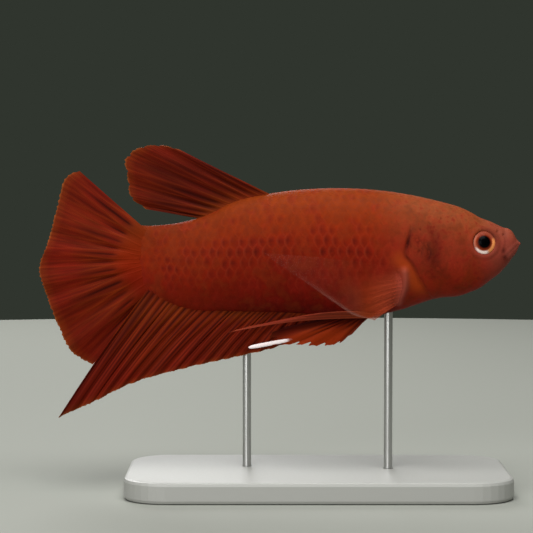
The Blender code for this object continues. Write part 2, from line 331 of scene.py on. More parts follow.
def read_points(obj: bpy.types.Object) -> Array:
    """Reads a mesh's vertices, one row each.

    Args:
        obj: the mesh object.

    Returns:
        The vertices' places.
    """
    flat = np.empty(len(obj.data.vertices) * 3, np.float32)
    obj.data.vertices.foreach_get("co", flat)
    return flat.reshape(-1, 3).astype(float)


def write_points(obj: bpy.types.Object, points: Array) -> None:
    """Moves a mesh's vertices to these places."""
    obj.data.vertices.foreach_set("co", points.astype(np.float32).ravel())
    obj.data.update()


def write_values(obj: bpy.types.Object, **numbers: Array) -> None:
    """Stores numbers on the vertices, for the material to read.

    Args:
        obj: the mesh object.
        numbers: one number for each vertex, under each name.
    """
    for name, values in numbers.items():
        layer = obj.data.attributes.new(name, "FLOAT", "POINT")
        layer.data.foreach_set("value", np.asarray(values, np.float32).ravel())


def read_values(obj: bpy.types.Object, name: str) -> Array:
    """Reads back the numbers that are stored on the vertices.

    Args:
        obj: the mesh object.
        name: what the numbers are stored under.

    Returns:
        One number for each vertex.
    """
    layer = obj.data.attributes[name].data
    values = np.empty(len(layer), np.float32)
    layer.foreach_get("value", values)
    return values


def new_map(obj: bpy.types.Object, name: str) -> tuple[bpy.types.MeshUVLoopLayer, Array]:
    """Clears a mesh's UV maps and adds an empty one.

    Args:
        obj: the mesh object.
        name: the map's name.

    Returns:
        The map, and the vertex at each of its corners.
    """
    mesh = obj.data
    while mesh.uv_layers:
        mesh.uv_layers.remove(mesh.uv_layers[0])
    corners = np.empty(len(mesh.loops), np.int32)
    mesh.loops.foreach_get("vertex_index", corners)
    return mesh.uv_layers.new(name=name), corners


def write_map(obj: bpy.types.Object, name: str, places: Array) -> None:
    """Stores a UV map given by one place for each vertex."""
    layer, corners = new_map(obj, name)
    layer.data.foreach_set("uv", places[corners].astype(np.float32).ravel())


def apply_modifier(obj: bpy.types.Object, name: str) -> None:
    """Turns a modifier's result into the object's own mesh."""
    bpy.context.view_layer.objects.active = obj
    bpy.ops.object.modifier_apply(modifier=name)


def select_only(obj: bpy.types.Object) -> None:
    """Selects one object and makes it the active one.

    Args:
        obj: the object.
    """
    deselect_all()
    obj.select_set(True)
    bpy.context.view_layer.objects.active = obj


def face_outwards(obj: bpy.types.Object) -> None:
    """Turns the faces of a closed mesh outwards.

    Args:
        obj: the mesh object.
    """
    select_only(obj)
    bpy.ops.object.mode_set(mode="EDIT")
    bpy.ops.mesh.select_all(action="SELECT")
    bpy.ops.mesh.normals_make_consistent(inside=False)
    bpy.ops.object.mode_set(mode="OBJECT")


def smooth(obj: bpy.types.Object, degrees: float) -> None:
    """Shades an object smooth, apart from its edges that are sharper than this."""
    select_only(obj)
    bpy.ops.object.shade_smooth_by_angle(angle=math.radians(degrees))


def place_piece(
    obj: bpy.types.Object,
    name: str,
    material: bpy.types.Material,
    stands_for: tuple[str, ...] = (),
) -> None:
    """Names and dresses a finished piece, and ties it to the frame.

    Args:
        obj: the piece.
        name: its name.
        material: its finish.
        stands_for: the CAD nodes that it replaces.
    """
    obj.name = name
    obj.data.name = name
    obj.data.materials.clear()
    obj.data.materials.append(material)
    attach(obj, "root")
    if stands_for:
        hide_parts(*stands_for)
    log.info("%s: %d faces, finish %s", name, len(obj.data.polygons), material.name)


@dataclass(frozen=True)
class FishPlan:
    """Where the fish lies in the frame.

    Attributes:
        snout_x: the snout tip's place along X.
        axis_z: the height of the level axis of the flank.
        length: the standard length.
    """

    snout_x: float
    axis_z: float
    length: float

    @classmethod
    def from_frame(cls) -> "FishPlan":
        """Works the plan out from the eye's centre and the rear end of the tail stalk.

        Returns:
            The plan.
        """
        eye_low, eye_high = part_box("eye_right")
        eye_x, eye_z = (eye_low[0] + eye_high[0]) / 2, (eye_low[2] + eye_high[2]) / 2
        length = (eye_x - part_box("tail_stalk")[0][0]) / (BODY_END - EYE_BACK)
        return cls(eye_x + EYE_BACK * length, eye_z - EYE_UP * length, length)

    def place(self, back: Array, out: Array, up: Array) -> Array:
        """Turns shares of the standard length to places in metres, one row each."""
        return np.stack(
            np.broadcast_arrays(
                self.snout_x - back * self.length, out * self.length, self.axis_z + up * self.length
            ),
            axis=-1,
        )


@dataclass
class BodyForm:
    """The smooth form of head and body, without any relief.

    Attributes:
        plan: where the fish lies.
        inset: how far the scaled part of the form lies inside the CAD body, in metres.
        stations: cross-sections worked out along the body.
        samples: points on one side of each, spread evenly from belly to back.
    """

    plan: FishPlan
    inset: float
    stations: int = 420
    samples: int = 161
    half_girth: Array = field(init=False)
    level: Array = field(init=False)

    def __post_init__(self) -> None:
        """Works out the table of cross-sections."""
        backs = np.linspace(0.0, BODY_END, self.stations)
        self._backs = backs
        inset = self.inset / self.plan.length * smooth_step(0.10, 0.24, backs)
        top = curve_through(BACK_LINE, backs)[:, 0] - inset
        bottom = curve_through(BELLY_LINE, backs)[:, 0] + inset
        half = curve_through(HALF_WIDTH, backs)[:, 0] - inset
        widest = bottom + (top - bottom) * curve_through(WIDEST_SHARE, backs)[:, 0]
        lower = curve_through(LOWER_ROUNDNESS, backs)[:, 0]
        self._top, self._bottom = top, bottom
        angles = np.linspace(-math.pi / 2, math.pi / 2, 601)
        even = np.linspace(0.0, 1.0, self.samples)
        self._out = np.empty((self.stations, self.samples))
        self._up = np.empty((self.stations, self.samples))
        self.half_girth = np.empty(self.stations)
        self.level = np.empty(self.stations)
        for i in range(self.stations):
            power = 2 / np.where(angles >= 0, UPPER_ROUNDNESS, lower[i])
            reach = np.where(angles >= 0, top[i] - widest[i], widest[i] - bottom[i])
            out = np.clip(np.cos(angles), 0, 1) ** power * half[i]
            up = widest[i] + np.sign(angles) * np.abs(np.sin(angles)) ** power * reach
            passed = np.concatenate([[0.0], np.cumsum(np.hypot(np.diff(out), np.diff(up)))])
            self.half_girth[i] = passed[-1]
            self._out[i] = np.interp(even * passed[-1], passed, out)
            self._up[i] = np.interp(even * passed[-1], passed, up)
            self.level[i] = np.interp(0.0, up, passed / passed[-1])

    def girth_at(self, back: Array) -> Array:
        """The whole way round the body, in metres."""
        return 2 * np.interp(back, self._backs, self.half_girth) * self.plan.length

    def level_at(self, back: Array) -> Array:
        """The share of the way from belly to back at which the level axis meets the flank."""
        return np.interp(back, self._backs, self.level)

    def shares(self, back: Array, around: Array) -> tuple[Array, Array]:
        """Reads the table of cross-sections.

        Args:
            back: how far along the body.
            around: how far round it.

        Returns:
            out and up, in shares of the standard length.
        """
        around = np.mod(around, 1.0)
        facing = np.where(around < 0.5, Side.RIGHT.value, Side.LEFT.value)
        column = np.where(around < 0.5, 2 * around, 2 - 2 * around) * (self.samples - 1)
        row = np.clip(back / BODY_END, 0.0, 1.0) * (self.stations - 1)
        i = np.minimum(row.astype(int), self.stations - 2)
        j = np.minimum(column.astype(int), self.samples - 2)
        di, dj = row - i, column - j
        found = []
        for table in (self._out, self._up):
            near = table[i, j] * (1 - dj) + table[i, j + 1] * dj
            far = table[i + 1, j] * (1 - dj) + table[i + 1, j + 1] * dj
            found.append(near * (1 - di) + far * di)
        return facing * found[0], found[1]

    def rise(self, back: Array, up: Array) -> Array:
        """How high a point lies in the body, from 0 at the belly's outline to 1 at the back's.

        Args:
            back: how far along the body each point lies.
            up: how high.

        Returns:
            The shares.
        """
        top = np.interp(back, self._backs, self._top)
        bottom = np.interp(back, self._backs, self._bottom)
        return np.clip((up - bottom) / (top - bottom), 0.0, 1.0)

    def middle(self, back: Array) -> Array:
        """The height of the middle of the cross-section."""
        return np.interp(back, self._backs, (self._top + self._bottom) / 2)

    def normal(self, back: Array, around: Array) -> Array:
        """The outward normals at points of the body.

        Args:
            back: how far along the body each point lies.
            around: how far round it.

        Returns:
            One unit row for each point.
        """
        step_back, step_around = 0.004, 0.006
        ends = []
        for i, j in ((step_back, 0.0), (-step_back, 0.0), (0.0, step_around), (0.0, -step_around)):
            at = np.clip(back + i, 0.0, BODY_END)
            out, up = self.shares(at, around + j)
            ends.append(self.plan.place(at, out, up))
        facing = np.cross(ends[2] - ends[3], ends[0] - ends[1])
        return facing / np.maximum(np.linalg.norm(facing, axis=-1, keepdims=True), 1e-12)


@dataclass
class Marks:
    """What lies on each point of the skin.

    Attributes:
        x: how far back the point lies from the snout tip, in millimetres.
        z: how high it lies over the level axis, in millimetres.
        height: the relief, in millimetres.
        stain: how dark the skin is painted, with its own dark marks and with painted shade in its hollows, 0
            to 1.
        rosy: how bare and pink the flesh is, 0 to 1.
        glow: how much painted light brightens it to a lit orange, 0 to 1.
    """

    x: Array
    z: Array
    height: Array
    stain: Array
    rosy: Array
    glow: Array

    @classmethod
    def none(cls, x: Array, z: Array) -> "Marks":
        """Plain skin at these points."""
        return cls(x, z, *(np.zeros(x.shape) for _ in range(4)))

    def fade(self, share: Array) -> None:
        """Lessens all marks to a share."""
        for name in ("height", "stain", "rosy", "glow"):
            setattr(self, name, getattr(self, name) * share)

    def write(self, obj: bpy.types.Object) -> None:
        """Stores the marks that a material reads."""
        numbers = {"stain": self.stain, "rosy": self.rosy, "glow": self.glow}
        write_values(obj, **{name: np.clip(values, 0.0, 1.0) for name, values in numbers.items()})


@dataclass(frozen=True)
class Spot:
    """A small round mark on the head's side.

    Attributes:
        back: where its centre lies along the body, in shares of the standard length.
        up: how high.
        radius: its radius, in millimetres.
        depth: how deep it is, in millimetres.
        dark: how dark it is, 0 to 1.
        upright: how much height counts in its radius: below 1 it is taller than it is wide.
    """

    back: float
    up: float
    radius: float
    depth: float
    dark: float
    upright: float = 1.0


NOSTRILS = (Spot(0.0575, 0.0500, 0.22, 0.18, 0.34), Spot(0.0430, 0.0410, 0.18, 0.14, 0.28))
PORES = (
    Spot(0.18, 0.059, 0.15, 0.1, 0.75),
    Spot(0.131, 0.054, 0.14, 0.08, 0.6),
    Spot(0.205, 0.083, 0.14, 0.06, 0.5),
    Spot(0.236, 0.07, 0.18, 0.06, 0.5),
    Spot(0.26, 0.056, 0.18, 0.06, 0.55),
    Spot(0.108, -0.07, 0.14, 0.06, 0.45),
    Spot(0.145, -0.086, 0.14, 0.06, 0.4),
)
# Painted shade under the upper lip, at the gape and its corner.
MOUTH_SHADE = (Spot(0.0437, 0.001, 0.38, 0.0, 0.46), Spot(0.0386, -0.0195, 0.44, 0.0, 0.46, 0.8))
COVER_BLOTCHES = (
    Spot(0.272, 0.052, 0.9, 0.0, 0.22, 0.7),
    Spot(0.255, -0.02, 1.1, 0.0, 0.2, 0.7),
    Spot(0.225, 0.035, 1.2, 0.0, 0.16, 0.7),
)


@dataclass(frozen=True)
class Relief:
    """The relief of mouth, nostrils, pores, eye sockets, cheeks, gill covers and pectoral fins' bases.

    Lengths are in millimetres. Each feature adds its own relief and colours to the marks, with painted shade
    in hollows and painted light behind the gill cover.

    Attributes:
        length_mm: the standard length.
        socket_radius: the radius at which the skin meets the eyeball.
        socket_depth: how deep the skin drops inside it.
        gape_depth: how deep the closed mouth's line is.
        corner_depth: how deep the dimple at the mouth's corner is.
        lip_height: how far the lips stand proud.
        fold_depth: how deep the groove behind the upper lip is.
        lid_height: how far the fold of skin round the eye stands proud.
        cover_height: how far the gill cover's rear edge stands proud.
        slit_depth: how deep the skin drops behind that edge.
        groove_depth: how deep the cheek's groove is.
        crease_depth: how deep the gill cover's creases are.
        base_height: how far the pectoral fin's fleshy base stands proud.
    """

    length_mm: float
    socket_radius: float = 1.63
    socket_depth: float = 1.0
    gape_depth: float = 0.012
    corner_depth: float = 0.08
    lip_height: float = 0.026
    fold_depth: float = 0.04
    lid_height: float = 0.05
    cover_height: float = 0.11
    slit_depth: float = 0.20
    groove_depth: float = 0.07
    crease_depth: float = 0.10
    base_height: float = 0.34

    def line(self, shares: Any) -> Array:
        """Turns a line in shares of the standard length to a smooth one in millimetres."""
        return spread_along(shares, np.linspace(0.0, 1.0, 28)) * self.length_mm

    def eye_distance(self, x: Array, z: Array) -> Array:
        """The distance from the eye's centre."""
        return np.hypot(x - BALL_BACK * self.length_mm, z - BALL_UP * self.length_mm)

    def mouth(self, marks: Marks) -> None:
        """Adds the closed mouth with its lips, the dimple at its corner and the fold behind the upper lip,
        with painted shade in the dimple and the fold.

        Args:
            marks: the marks to add to.
        """
        x, z = marks.x, marks.z
        line = self.line(GAPE_LINE)
        away, passed = distance_to_line(x, z, line)
        above = z > np.interp(x, line[:, 0], line[:, 1])
        held = smooth_step(1.0, 0.75, passed)
        lips = held * hump(away - 0.36, 0.22) * np.where(above, 0.9, 1.2)
        groove = hump(away, 0.11) * smooth_step(1.0, 0.9, passed)
        corner = hump(np.hypot(x - line[-1, 0], z - line[-1, 1]), 0.32)
        fold, _ = distance_to_line(x, z, self.line(LIP_FOLD))
        muzzle = smooth_step(0.125, 0.030, x / self.length_mm)
        marks.height += self.lip_height * lips - self.gape_depth * groove
        marks.height -= self.corner_depth * corner + self.fold_depth * hump(fold, 0.22)
        # Painted shade in the dimple and in the fold behind the upper lip; the muzzle is darkened a little.
        marks.stain += 0.18 * corner + 0.16 * hump(fold, 0.26) + 0.15 * muzzle
        marks.rosy += 0.80 * held * hump(away - 0.20, 0.36) + 0.60 * muzzle

    def spots(self, marks: Marks) -> None:
        """Adds the nostrils, the pores, the painted shade under the upper lip, and the dark smudges of the
        gill cover.

        Args:
            marks: the marks to add to.
        """
        x, z = marks.x, marks.z
        for spot in (*NOSTRILS, *PORES, *MOUTH_SHADE, *COVER_BLOTCHES):
            ahead, above = x - spot.back * self.length_mm, z - spot.up * self.length_mm
            near = hump(np.hypot(ahead, above * spot.upright), spot.radius)
            marks.height -= spot.depth * near
            marks.stain += spot.dark * near

    def socket(self, marks: Marks) -> None:
        """Adds the eye's socket and the soft fold of skin round it, with painted shade at its rim and under
        the brow.

        Args:
            marks: the marks to add to.
        """
        x, z = marks.x, marks.z
        away = self.eye_distance(x, z)
        up = (z - BALL_UP * self.length_mm) / np.maximum(away, 0.01)
        ahead = (BALL_BACK * self.length_mm - x) / np.maximum(away, 0.01)
        rim = away - self.socket_radius
        marks.height += self.lid_height * (hump(rim - 0.32, 0.28) - 0.6 * hump(rim - 0.85, 0.25))
        marks.height -= self.socket_depth * smooth_step(0.05, -0.35, rim)
        # Painted shade at the socket's rim and under the brow, above and in front of the eye.
        brow = np.clip(up * 0.8 + ahead * 0.45, 0.0, 1.0)
        marks.stain += brow * (0.60 * hump(rim - 0.02, 0.30) + 0.20 * hump(rim - 0.45, 0.4))
        marks.rosy += 0.35 * hump(rim - 0.15, 0.35) * np.clip(-up, 0.0, 1.0)

    def gill_cover(self, marks: Marks) -> None:
        """Adds the gill cover's raised rear edge, the slit behind it with painted shade, and painted light on
        the flesh next to that.

        Args:
            marks: the marks to add to.
        """
        x, z = marks.x, marks.z
        length = self.length_mm
        level = z / length
        edge = self.line(GILL_EDGE)
        away, _ = distance_to_line(x, z, edge)
        behind = x > np.interp(z, edge[:, 1], edge[:, 0])
        held = smooth_step(0.070, 0.050, level) * smooth_step(-0.135, -0.10, level)
        upper = hump(level - 0.022, 0.016)
        front = self.cover_height * np.exp(-away / 0.9)
        rear = -self.slit_depth * (0.35 + 0.65 * upper) * hump(away, 0.42)
        blend = smooth_step(-0.12, 0.12, np.where(behind, away, -away))
        marks.height += held * (front * (1 - blend) + rear * blend)
        # Painted shade in the slit behind the edge, darkest in its upper part.
        slit = hump(np.where(behind, away - 0.10, away + 0.10), 0.30)
        marks.stain += held * slit * (0.18 + 0.26 * smooth_step(-0.07, -0.03, level) + 0.60 * upper)
        # Painted light: the flesh behind the slit, low on the flank where it turns down from the light, is
        # brightened to a lit orange.
        within = np.where(behind, hump(away - 0.95, 1.05), 0.0) * smooth_step(-0.125, -0.085, level)
        marks.glow += 0.70 * within * smooth_step(0.02, -0.03, level)

    def cheek(self, marks: Marks) -> None:
        """Adds the cheek's groove and the creases of the gill cover, with painted shade in each.

        Args:
            marks: the marks to add to.
        """
        x, z = marks.x, marks.z
        # Painted shade in the gill cover's creases and in the cheek's groove.
        for line in COVER_CREASES:
            away, passed = distance_to_line(x, z, self.line(line))
            crease = hump(away, 0.36) * smooth_step(0.0, 0.25, passed) * smooth_step(1.0, 0.75, passed)
            marks.height -= self.crease_depth * crease
            marks.stain += 0.52 * crease
        away, passed = distance_to_line(x, z, self.line(CHEEK_GROOVE))
        marks.height -= self.groove_depth * hump(away, 0.38) * smooth_step(1.0, 0.8, passed)
        marks.stain += (0.22 + 0.34 * hump(passed - 0.45, 0.25)) * hump(away, 0.85)

    def fin_base(self, marks: Marks) -> None:
        """Adds the pink fleshy ridge that the pectoral fin grows from.

        Args:
            marks: the marks to add to.
        """
        x, z = marks.x, marks.z
        away, passed = distance_to_line(x, z, self.line(FIN_BASE))
        held = smooth_step(0.0, 0.18, passed) * smooth_step(1.0, 0.85, passed)
        marks.height += self.base_height * held * hump(away, 0.50)
        marks.rosy += 0.80 * held * hump(away, 0.52)

    def shape(self, back: Array, up: Array) -> Marks:
        """Works out all marks.

        Args:
            back: how far along the body each point lies.
            up: how high.

        Returns:
            The marks.
        """
        marks = Marks.none(back * self.length_mm, up * self.length_mm)
        for feature in (self.mouth, self.spots, self.socket, self.gill_cover, self.cheek, self.fin_base):
            feature(marks)
        marks.fade(smooth_step(0.40, 0.34, back))
        return marks


@dataclass
class Skin:
    """The fish's one skin, over head, jaw, gill covers, trunk and tail stalk.

    Attributes:
        form: the body's smooth form.
        relief: the relief of its head.
        rings: rings along the skin.
        steps: points round each ring.
        cap: the share of the rings that closes each end.
        tip: how far each end's cap bulges, in shares of the standard length.
    """

    form: BodyForm
    relief: Relief
    rings: int = 370
    steps: int = 248
    cap: float = 0.016
    tip: float = 0.004

    def stops(self) -> tuple[tuple[float, ...], tuple[float, ...]]:
        """Places along the body, and the shares of the rings passed there. They are closest at the mouth."""
        return (0.0, 0.06, 0.30, BODY_END - self.tip), (self.cap, 0.19, 0.62, 1 - self.cap)

    def along(self, back: Array) -> Array:
        """The share of the rings passed at a place along the body."""
        return np.interp(back, *self.stops())

    def back_of(self, along: Array) -> Array:
        """The place along the body at a share of the rings."""
        return np.interp(along, *reversed(self.stops()))

    def points(self, back: Array, around: Array, lift: Array) -> tuple[Array, Array, Marks]:
        """Places on the skin with its relief.

        Args:
            back: how far along the body.
            around: how far round it.
            lift: how far the places lie over the skin, in metres.

        Returns:
            The places, how high each lies in the body (0 to 1), and its marks.
        """
        out, up = self.form.shares(back, around)
        marks = self.relief.shape(back, up)
        base = self.form.plan.place(back, out, up)
        raised = self.form.normal(back, around) * (marks.height * MM + lift)[..., None]
        return base + raised, self.form.rise(back, up), marks

    def build(self) -> bpy.types.Object:
        """Wraps a ball of quads round the body.

        Returns:
            The skin, with its markings' numbers and its unwrap.
        """
        deselect_all()
        bpy.ops.mesh.primitive_uv_sphere_add(segments=self.steps, ring_count=self.rings, radius=1.0)
        skin = bpy.context.object
        ball = read_points(skin)
        along = np.arccos(np.clip(ball[:, 2], -1, 1)) / math.pi
        around = np.mod(np.arctan2(ball[:, 1], ball[:, 0]) / (2 * math.pi), 1.0)
        around[around > 1 - 0.5 / self.steps] = 0.0
        back = self.back_of(along)
        places, rise, marks = self.points(back, around, np.zeros(len(ball)))
        open_share = np.clip(np.minimum(along, 1 - along) / self.cap, 0.0, 1.0)
        middle = self.form.plan.place(back, np.zeros(len(ball)), self.form.middle(back))
        closing = np.sin(open_share * math.pi / 2)[:, None]
        places = middle + (places - middle) * closing
        bulge = np.cos(open_share * math.pi / 2) * self.tip * self.form.plan.length
        places[:, 0] += np.where(along < 0.5, bulge, -bulge)
        write_points(skin, places)
        write_values(skin, rise=rise, back=back)
        marks.write(skin)
        self.unwrap(skin, along, around)
        face_outwards(skin)
        smooth(skin, 180)
        return skin

    def unwrap(self, skin: bpy.types.Object, along: Array, around: Array) -> None:
        """Lays the skin out flat, cut open along the belly.

        Args:
            skin: the skin.
            along: each vertex's share of the rings.
            around: how far round the body each vertex lies.
        """
        layer, corners = new_map(skin, "OFBake")
        sizes = np.empty(len(skin.data.polygons), np.int32)
        skin.data.polygons.foreach_get("loop_total", sizes)
        face = np.repeat(np.arange(len(sizes)), sizes)
        u, v = around[corners], along[corners]
        pole = (v < 1e-6) | (v > 1 - 1e-6)
        widest = np.zeros(len(sizes))
        np.maximum.at(widest, face, np.where(pole, 0.0, u))
        u = np.where((widest[face] > 0.75) & (u < 0.25), u + 1.0, u)
        total, count = np.zeros(len(sizes)), np.zeros(len(sizes))
        np.add.at(total, face, np.where(pole, 0.0, u))
        np.add.at(count, face, ~pole)
        u = np.where(pole, (total / count)[face], u)
        layer.data.foreach_set("uv", np.column_stack([u, v]).astype(np.float32).ravel())


@dataclass(frozen=True)
class ScalePattern:
    """How the scales of one region are sized and laid. Lengths are in millimetres.

    Attributes:
        pitch: the step from one scale to the next along its row.
        row: the step from one row to the next.
        overlap: a scale's whole length over the pitch.
        width: a scale's width over the row step.
        edge_height: how far the free edge stands over the skin.
        thickness: a scale's own thickness.
        cells: the faces along and across the top of one scale.
    """

    pitch: float
    row: float
    overlap: float
    width: float
    edge_height: float
    thickness: float
    cells: tuple[int, int]


@dataclass
class Coat:
    """Overlapping scales over one region of the skin.

    Attributes:
        skin: the skin that they grow from.
        pattern: how they are sized and laid.
        seed: the seed of their small differences.
    """

    skin: Skin
    pattern: ScalePattern
    seed: int

    def allowed(self, back: Array, up: Array) -> Array:
        """Says where this coat's scales may grow."""
        raise NotImplementedError

    @staticmethod
    def shrink(back: Array) -> Array:
        """The scales' size, which falls to three quarters at the rear end of the tail stalk."""
        return 1 - 0.25 * smooth_step(0.70, 1.0, back)

    def rows(self) -> tuple[Array, Array]:
        """Lays out the roots of the scales in staggered rows that run level along the flank.

        Returns:
            How far along and how far round the body each root lies.
        """
        form = self.skin.form
        first, last = 0.07, 1.0
        backs = [first]
        while backs[-1] < last:
            half_pitch = 0.5 * self.pattern.pitch * MM / form.plan.length
            backs.append(backs[-1] + half_pitch * float(self.shrink(np.array(backs[-1]))))
        backs = np.array(backs)
        found_back, found_around = [], []
        girth = form.girth_at(backs)
        level = form.level_at(backs)
        row = self.pattern.row * MM * self.shrink(backs) / (0.5 * girth)
        most = int(0.5 * girth.max() / (self.pattern.row * MM)) + 1
        # The belly and the back have rows of their own.
        margin = 0.42 * row
        for k in range(-most, most + 1):
            mine = np.arange(len(backs)) % 2 == k % 2
            share = level + k * row
            inside = mine & (share > margin) & (share < 1 - margin)
            for around in (share / 2, 1 - share / 2):
                found_back.append(backs[inside])
                found_around.append(around[inside])
        for around in (0.0, 0.5):
            found_back.append(backs[::2])
            found_around.append(np.full(len(backs[::2]), around))
        back, around = np.concatenate(found_back), np.concatenate(found_around)
        _, up = form.shares(back, around)
        kept = self.allowed(back, up)
        return back[kept], around[kept]

    def template(self) -> tuple[Array, Array, list[tuple[int, ...]]]:
        """Models one scale: a thin shell, narrow at its root and round at its free edge.

        Returns:
            The lengthwise place of each point (0 root to 1 free edge), its crosswise place (-1 to 1),
            and the faces. The points of the top come first, and then the rim of the underside.
        """
        corner_cut, corner_power = 0.34, 2.4
        root_width, full_width_at = 0.62, 0.55
        m, n = self.pattern.cells
        i, j = np.meshgrid(np.arange(m + 1), np.arange(n + 1), indexing="ij")
        across = 2 * j / n - 1
        share = i / m
        along = share * (1 - corner_cut * np.abs(across) ** corner_power)
        widening = np.sin(np.clip(share / full_width_at, 0, 1) * math.pi / 2)
        across = across * (root_width + (1 - root_width) * widening)
        index = np.arange((m + 1) * (n + 1)).reshape(m + 1, n + 1)
        faces = [
            (index[a, b], index[a + 1, b], index[a + 1, b + 1], index[a, b + 1])
            for a in range(m)
            for b in range(n)
        ]
        rim = [*index[:, 0], *index[-1, 1:], *index[-2::-1, -1], *index[0, -2:0:-1]]
        under = {top: place for place, top in enumerate(rim, start=index.size)}
        for a, b in zip(rim, [*rim[1:], rim[0]], strict=True):
            faces.append((b, a, under[a], under[b]))
        faces.append(tuple(under[top] for top in rim))
        along = np.concatenate([along.ravel(), along.ravel()[rim]])
        across = np.concatenate([across.ravel(), across.ravel()[rim]])
        return along, across, faces

    def build(self) -> bpy.types.Object:
        """Copies one scale to every root, bent to the skin there.

        Returns:
            The coat as one mesh, with its markings' numbers and its patches of the skin's unwrap.
        """
        root_back, root_around = self.rows()
        along, across, faces = self.template()
        count, points = len(root_back), len(along)
        top_points = (self.pattern.cells[0] + 1) * (self.pattern.cells[1] + 1)
        random = np.random.default_rng(self.seed)
        size = random.uniform(0.92, 1.08, (count, 1))
        tone = random.uniform(0.0, 1.0, (count, 1))
        turn = random.normal(0.0, 0.07, (count, 1))
        form = self.skin.form
        size = size * self.shrink(root_back)[:, None]
        root_back = root_back + random.normal(0.0, 0.05, count) * self.pattern.pitch * MM / form.plan.length
        long = (along - 0.5) * self.pattern.overlap * self.pattern.pitch * MM * size
        wide = across * 0.5 * self.pattern.width * self.pattern.row * MM * size
        downwards = np.where(root_around < 0.5, 1.0, -1.0)[:, None]
        long, wide = long + wide * turn, wide - long * turn
        back = root_back[:, None] + long / form.plan.length
        around = root_around[:, None] + downwards * wide / form.girth_at(root_back)[:, None]
        _, up = form.shares(back, around)
        proud = 0.30 + 0.55 * self.clear(back, form.rise(back, up))
        # In millimetres: how deep the root lies, how far the sides droop, and the scales' differences.
        sunk, arch, uneven = 0.03, 0.02, 0.012
        lift = (-sunk + (self.pattern.edge_height * proud + sunk) * along - arch * across**2) * MM
        lift = np.where(np.arange(points) < top_points, lift, lift - self.pattern.thickness * MM)
        lift = np.broadcast_to(lift, back.shape) + uneven * MM * (tone - 0.5)
        places, rise, marks = self.skin.points(back, around, lift)
        faces_all = [tuple(int(v) + i * points for v in face) for i in range(count) for face in faces]
        mesh = bpy.data.meshes.new("scales")
        mesh.from_pydata(places.reshape(-1, 3).tolist(), [], faces_all)
        coat = bpy.data.objects.new("scales", mesh)
        bpy.context.scene.collection.objects.link(coat)
        marks.write(coat)
        self.mark(coat, back, rise, np.broadcast_to(tone, back.shape), along, across)
        # Each scale is a patch of this size at its root's place on the skin's unwrap.
        patch = 0.003
        unwrap = np.stack(
            [
                np.mod(root_around, 1.0)[:, None] + across * patch / 2,
                self.skin.along(root_back)[:, None] + (along - 0.5) * patch,
            ],
            axis=-1,
        )
        write_map(coat, "OFBake", unwrap.reshape(-1, 2))
        face_outwards(coat)
        smooth(coat, 50)
        return coat

    @staticmethod
    def clear(back: Array, rise: Array) -> Array:
        """How clearly each scale stands out: most of all along the middle of the flank."""
        level = np.maximum(hump(rise - 0.53, 0.22), 0.44 * smooth_step(0.50, 0.62, rise))
        return level * smooth_step(0.28, 0.42, back) * smooth_step(1.00, 0.90, back)

    def mark(
        self,
        coat: bpy.types.Object,
        back: Array,
        rise: Array,
        tone: Array,
        along: Array,
        across: Array,
    ) -> None:
        """Stores the numbers that the scales' markings are drawn from: painted shade in each scale's heart
        and a painted highlight on its free edge.

        Args:
            coat: the scales.
            back: how far along the body each point lies.
            rise: how high each lies in the body.
            tone: each scale's own tone.
            along: each point's lengthwise place on its scale.
            across: its crosswise place.
        """
        covered = 1 - 1 / self.pattern.overlap
        heart = covered + 0.60 * (1 - covered)
        # Painted shade in the heart of the scale, and a painted highlight on its free edge.
        spot = hump(along - heart, 0.17 + 0.04 * tone) * hump(across, 0.40 + 0.20 * tone)
        edge = smooth_step(0.80, 0.99, along + 0.10 * across**2)
        shown = self.clear(back, rise)
        spot *= (0.10 + 0.90 * shown) * (0.66 + 0.34 * tone)
        edge = edge * (0.15 + 0.85 * shown) * smooth_step(1.0, 0.90, back)
        write_values(coat, rise=rise, back=back, tone=tone, spot=spot, edge=edge)


class BodyCoat(Coat):
    """The large scales of nape, trunk and tail stalk."""

    def allowed(self, back: Array, up: Array) -> Array:
        """Scales grow behind the gill opening, and over the nape in front of it.

        Args:
            back: how far along the body each scale's root lies.
            up: how high.

        Returns:
            True where a scale may grow.
        """
        gill_gap, fin_gap_mm, last = 0.030, 1.9, 0.962
        edge = np.asarray(GILL_EDGE)
        trunk = (back > np.interp(up, edge[:, 1], edge[:, 0]) + gill_gap) & (back > 0.27)
        nape = (up > 0.068) & (back > 0.185)
        relief = self.skin.relief
        base, _ = distance_to_line(back * relief.length_mm, up * relief.length_mm, relief.line(FIN_BASE))
        return (trunk | nape) & (back < last) & (base > fin_gap_mm)


class HeadCoat(Coat):
    """The small flat scales of cheek, gill cover and crown."""

    def allowed(self, back: Array, up: Array) -> Array:
        """Scales keep clear of the eye, the cheek's groove, the gill opening and the muzzle.

        Args:
            back: how far along the body each scale's root lies.
            up: how high.

        Returns:
            True where a scale may grow.
        """
        gill_gap_mm, groove_gap_mm, eye_gap_mm = 0.55, 0.38, 2.35
        relief = self.skin.relief
        x, z = back * relief.length_mm, up * relief.length_mm
        edge = np.asarray(GILL_EDGE)
        from_edge, _ = distance_to_line(x, z, relief.line(GILL_EDGE))
        from_groove, _ = distance_to_line(x, z, relief.line(CHEEK_GROOVE))
        cheek = (back > 0.118) & (up < 0.070) & (up > -0.088)
        cheek &= back < np.interp(up, edge[:, 1], edge[:, 0])
        cheek &= (from_edge > gill_gap_mm) & (from_groove > groove_gap_mm)
        crown = (up >= 0.070) & (back > 0.105) & (back < 0.195)
        return (cheek | crown) & (relief.eye_distance(x, z) > eye_gap_mm)


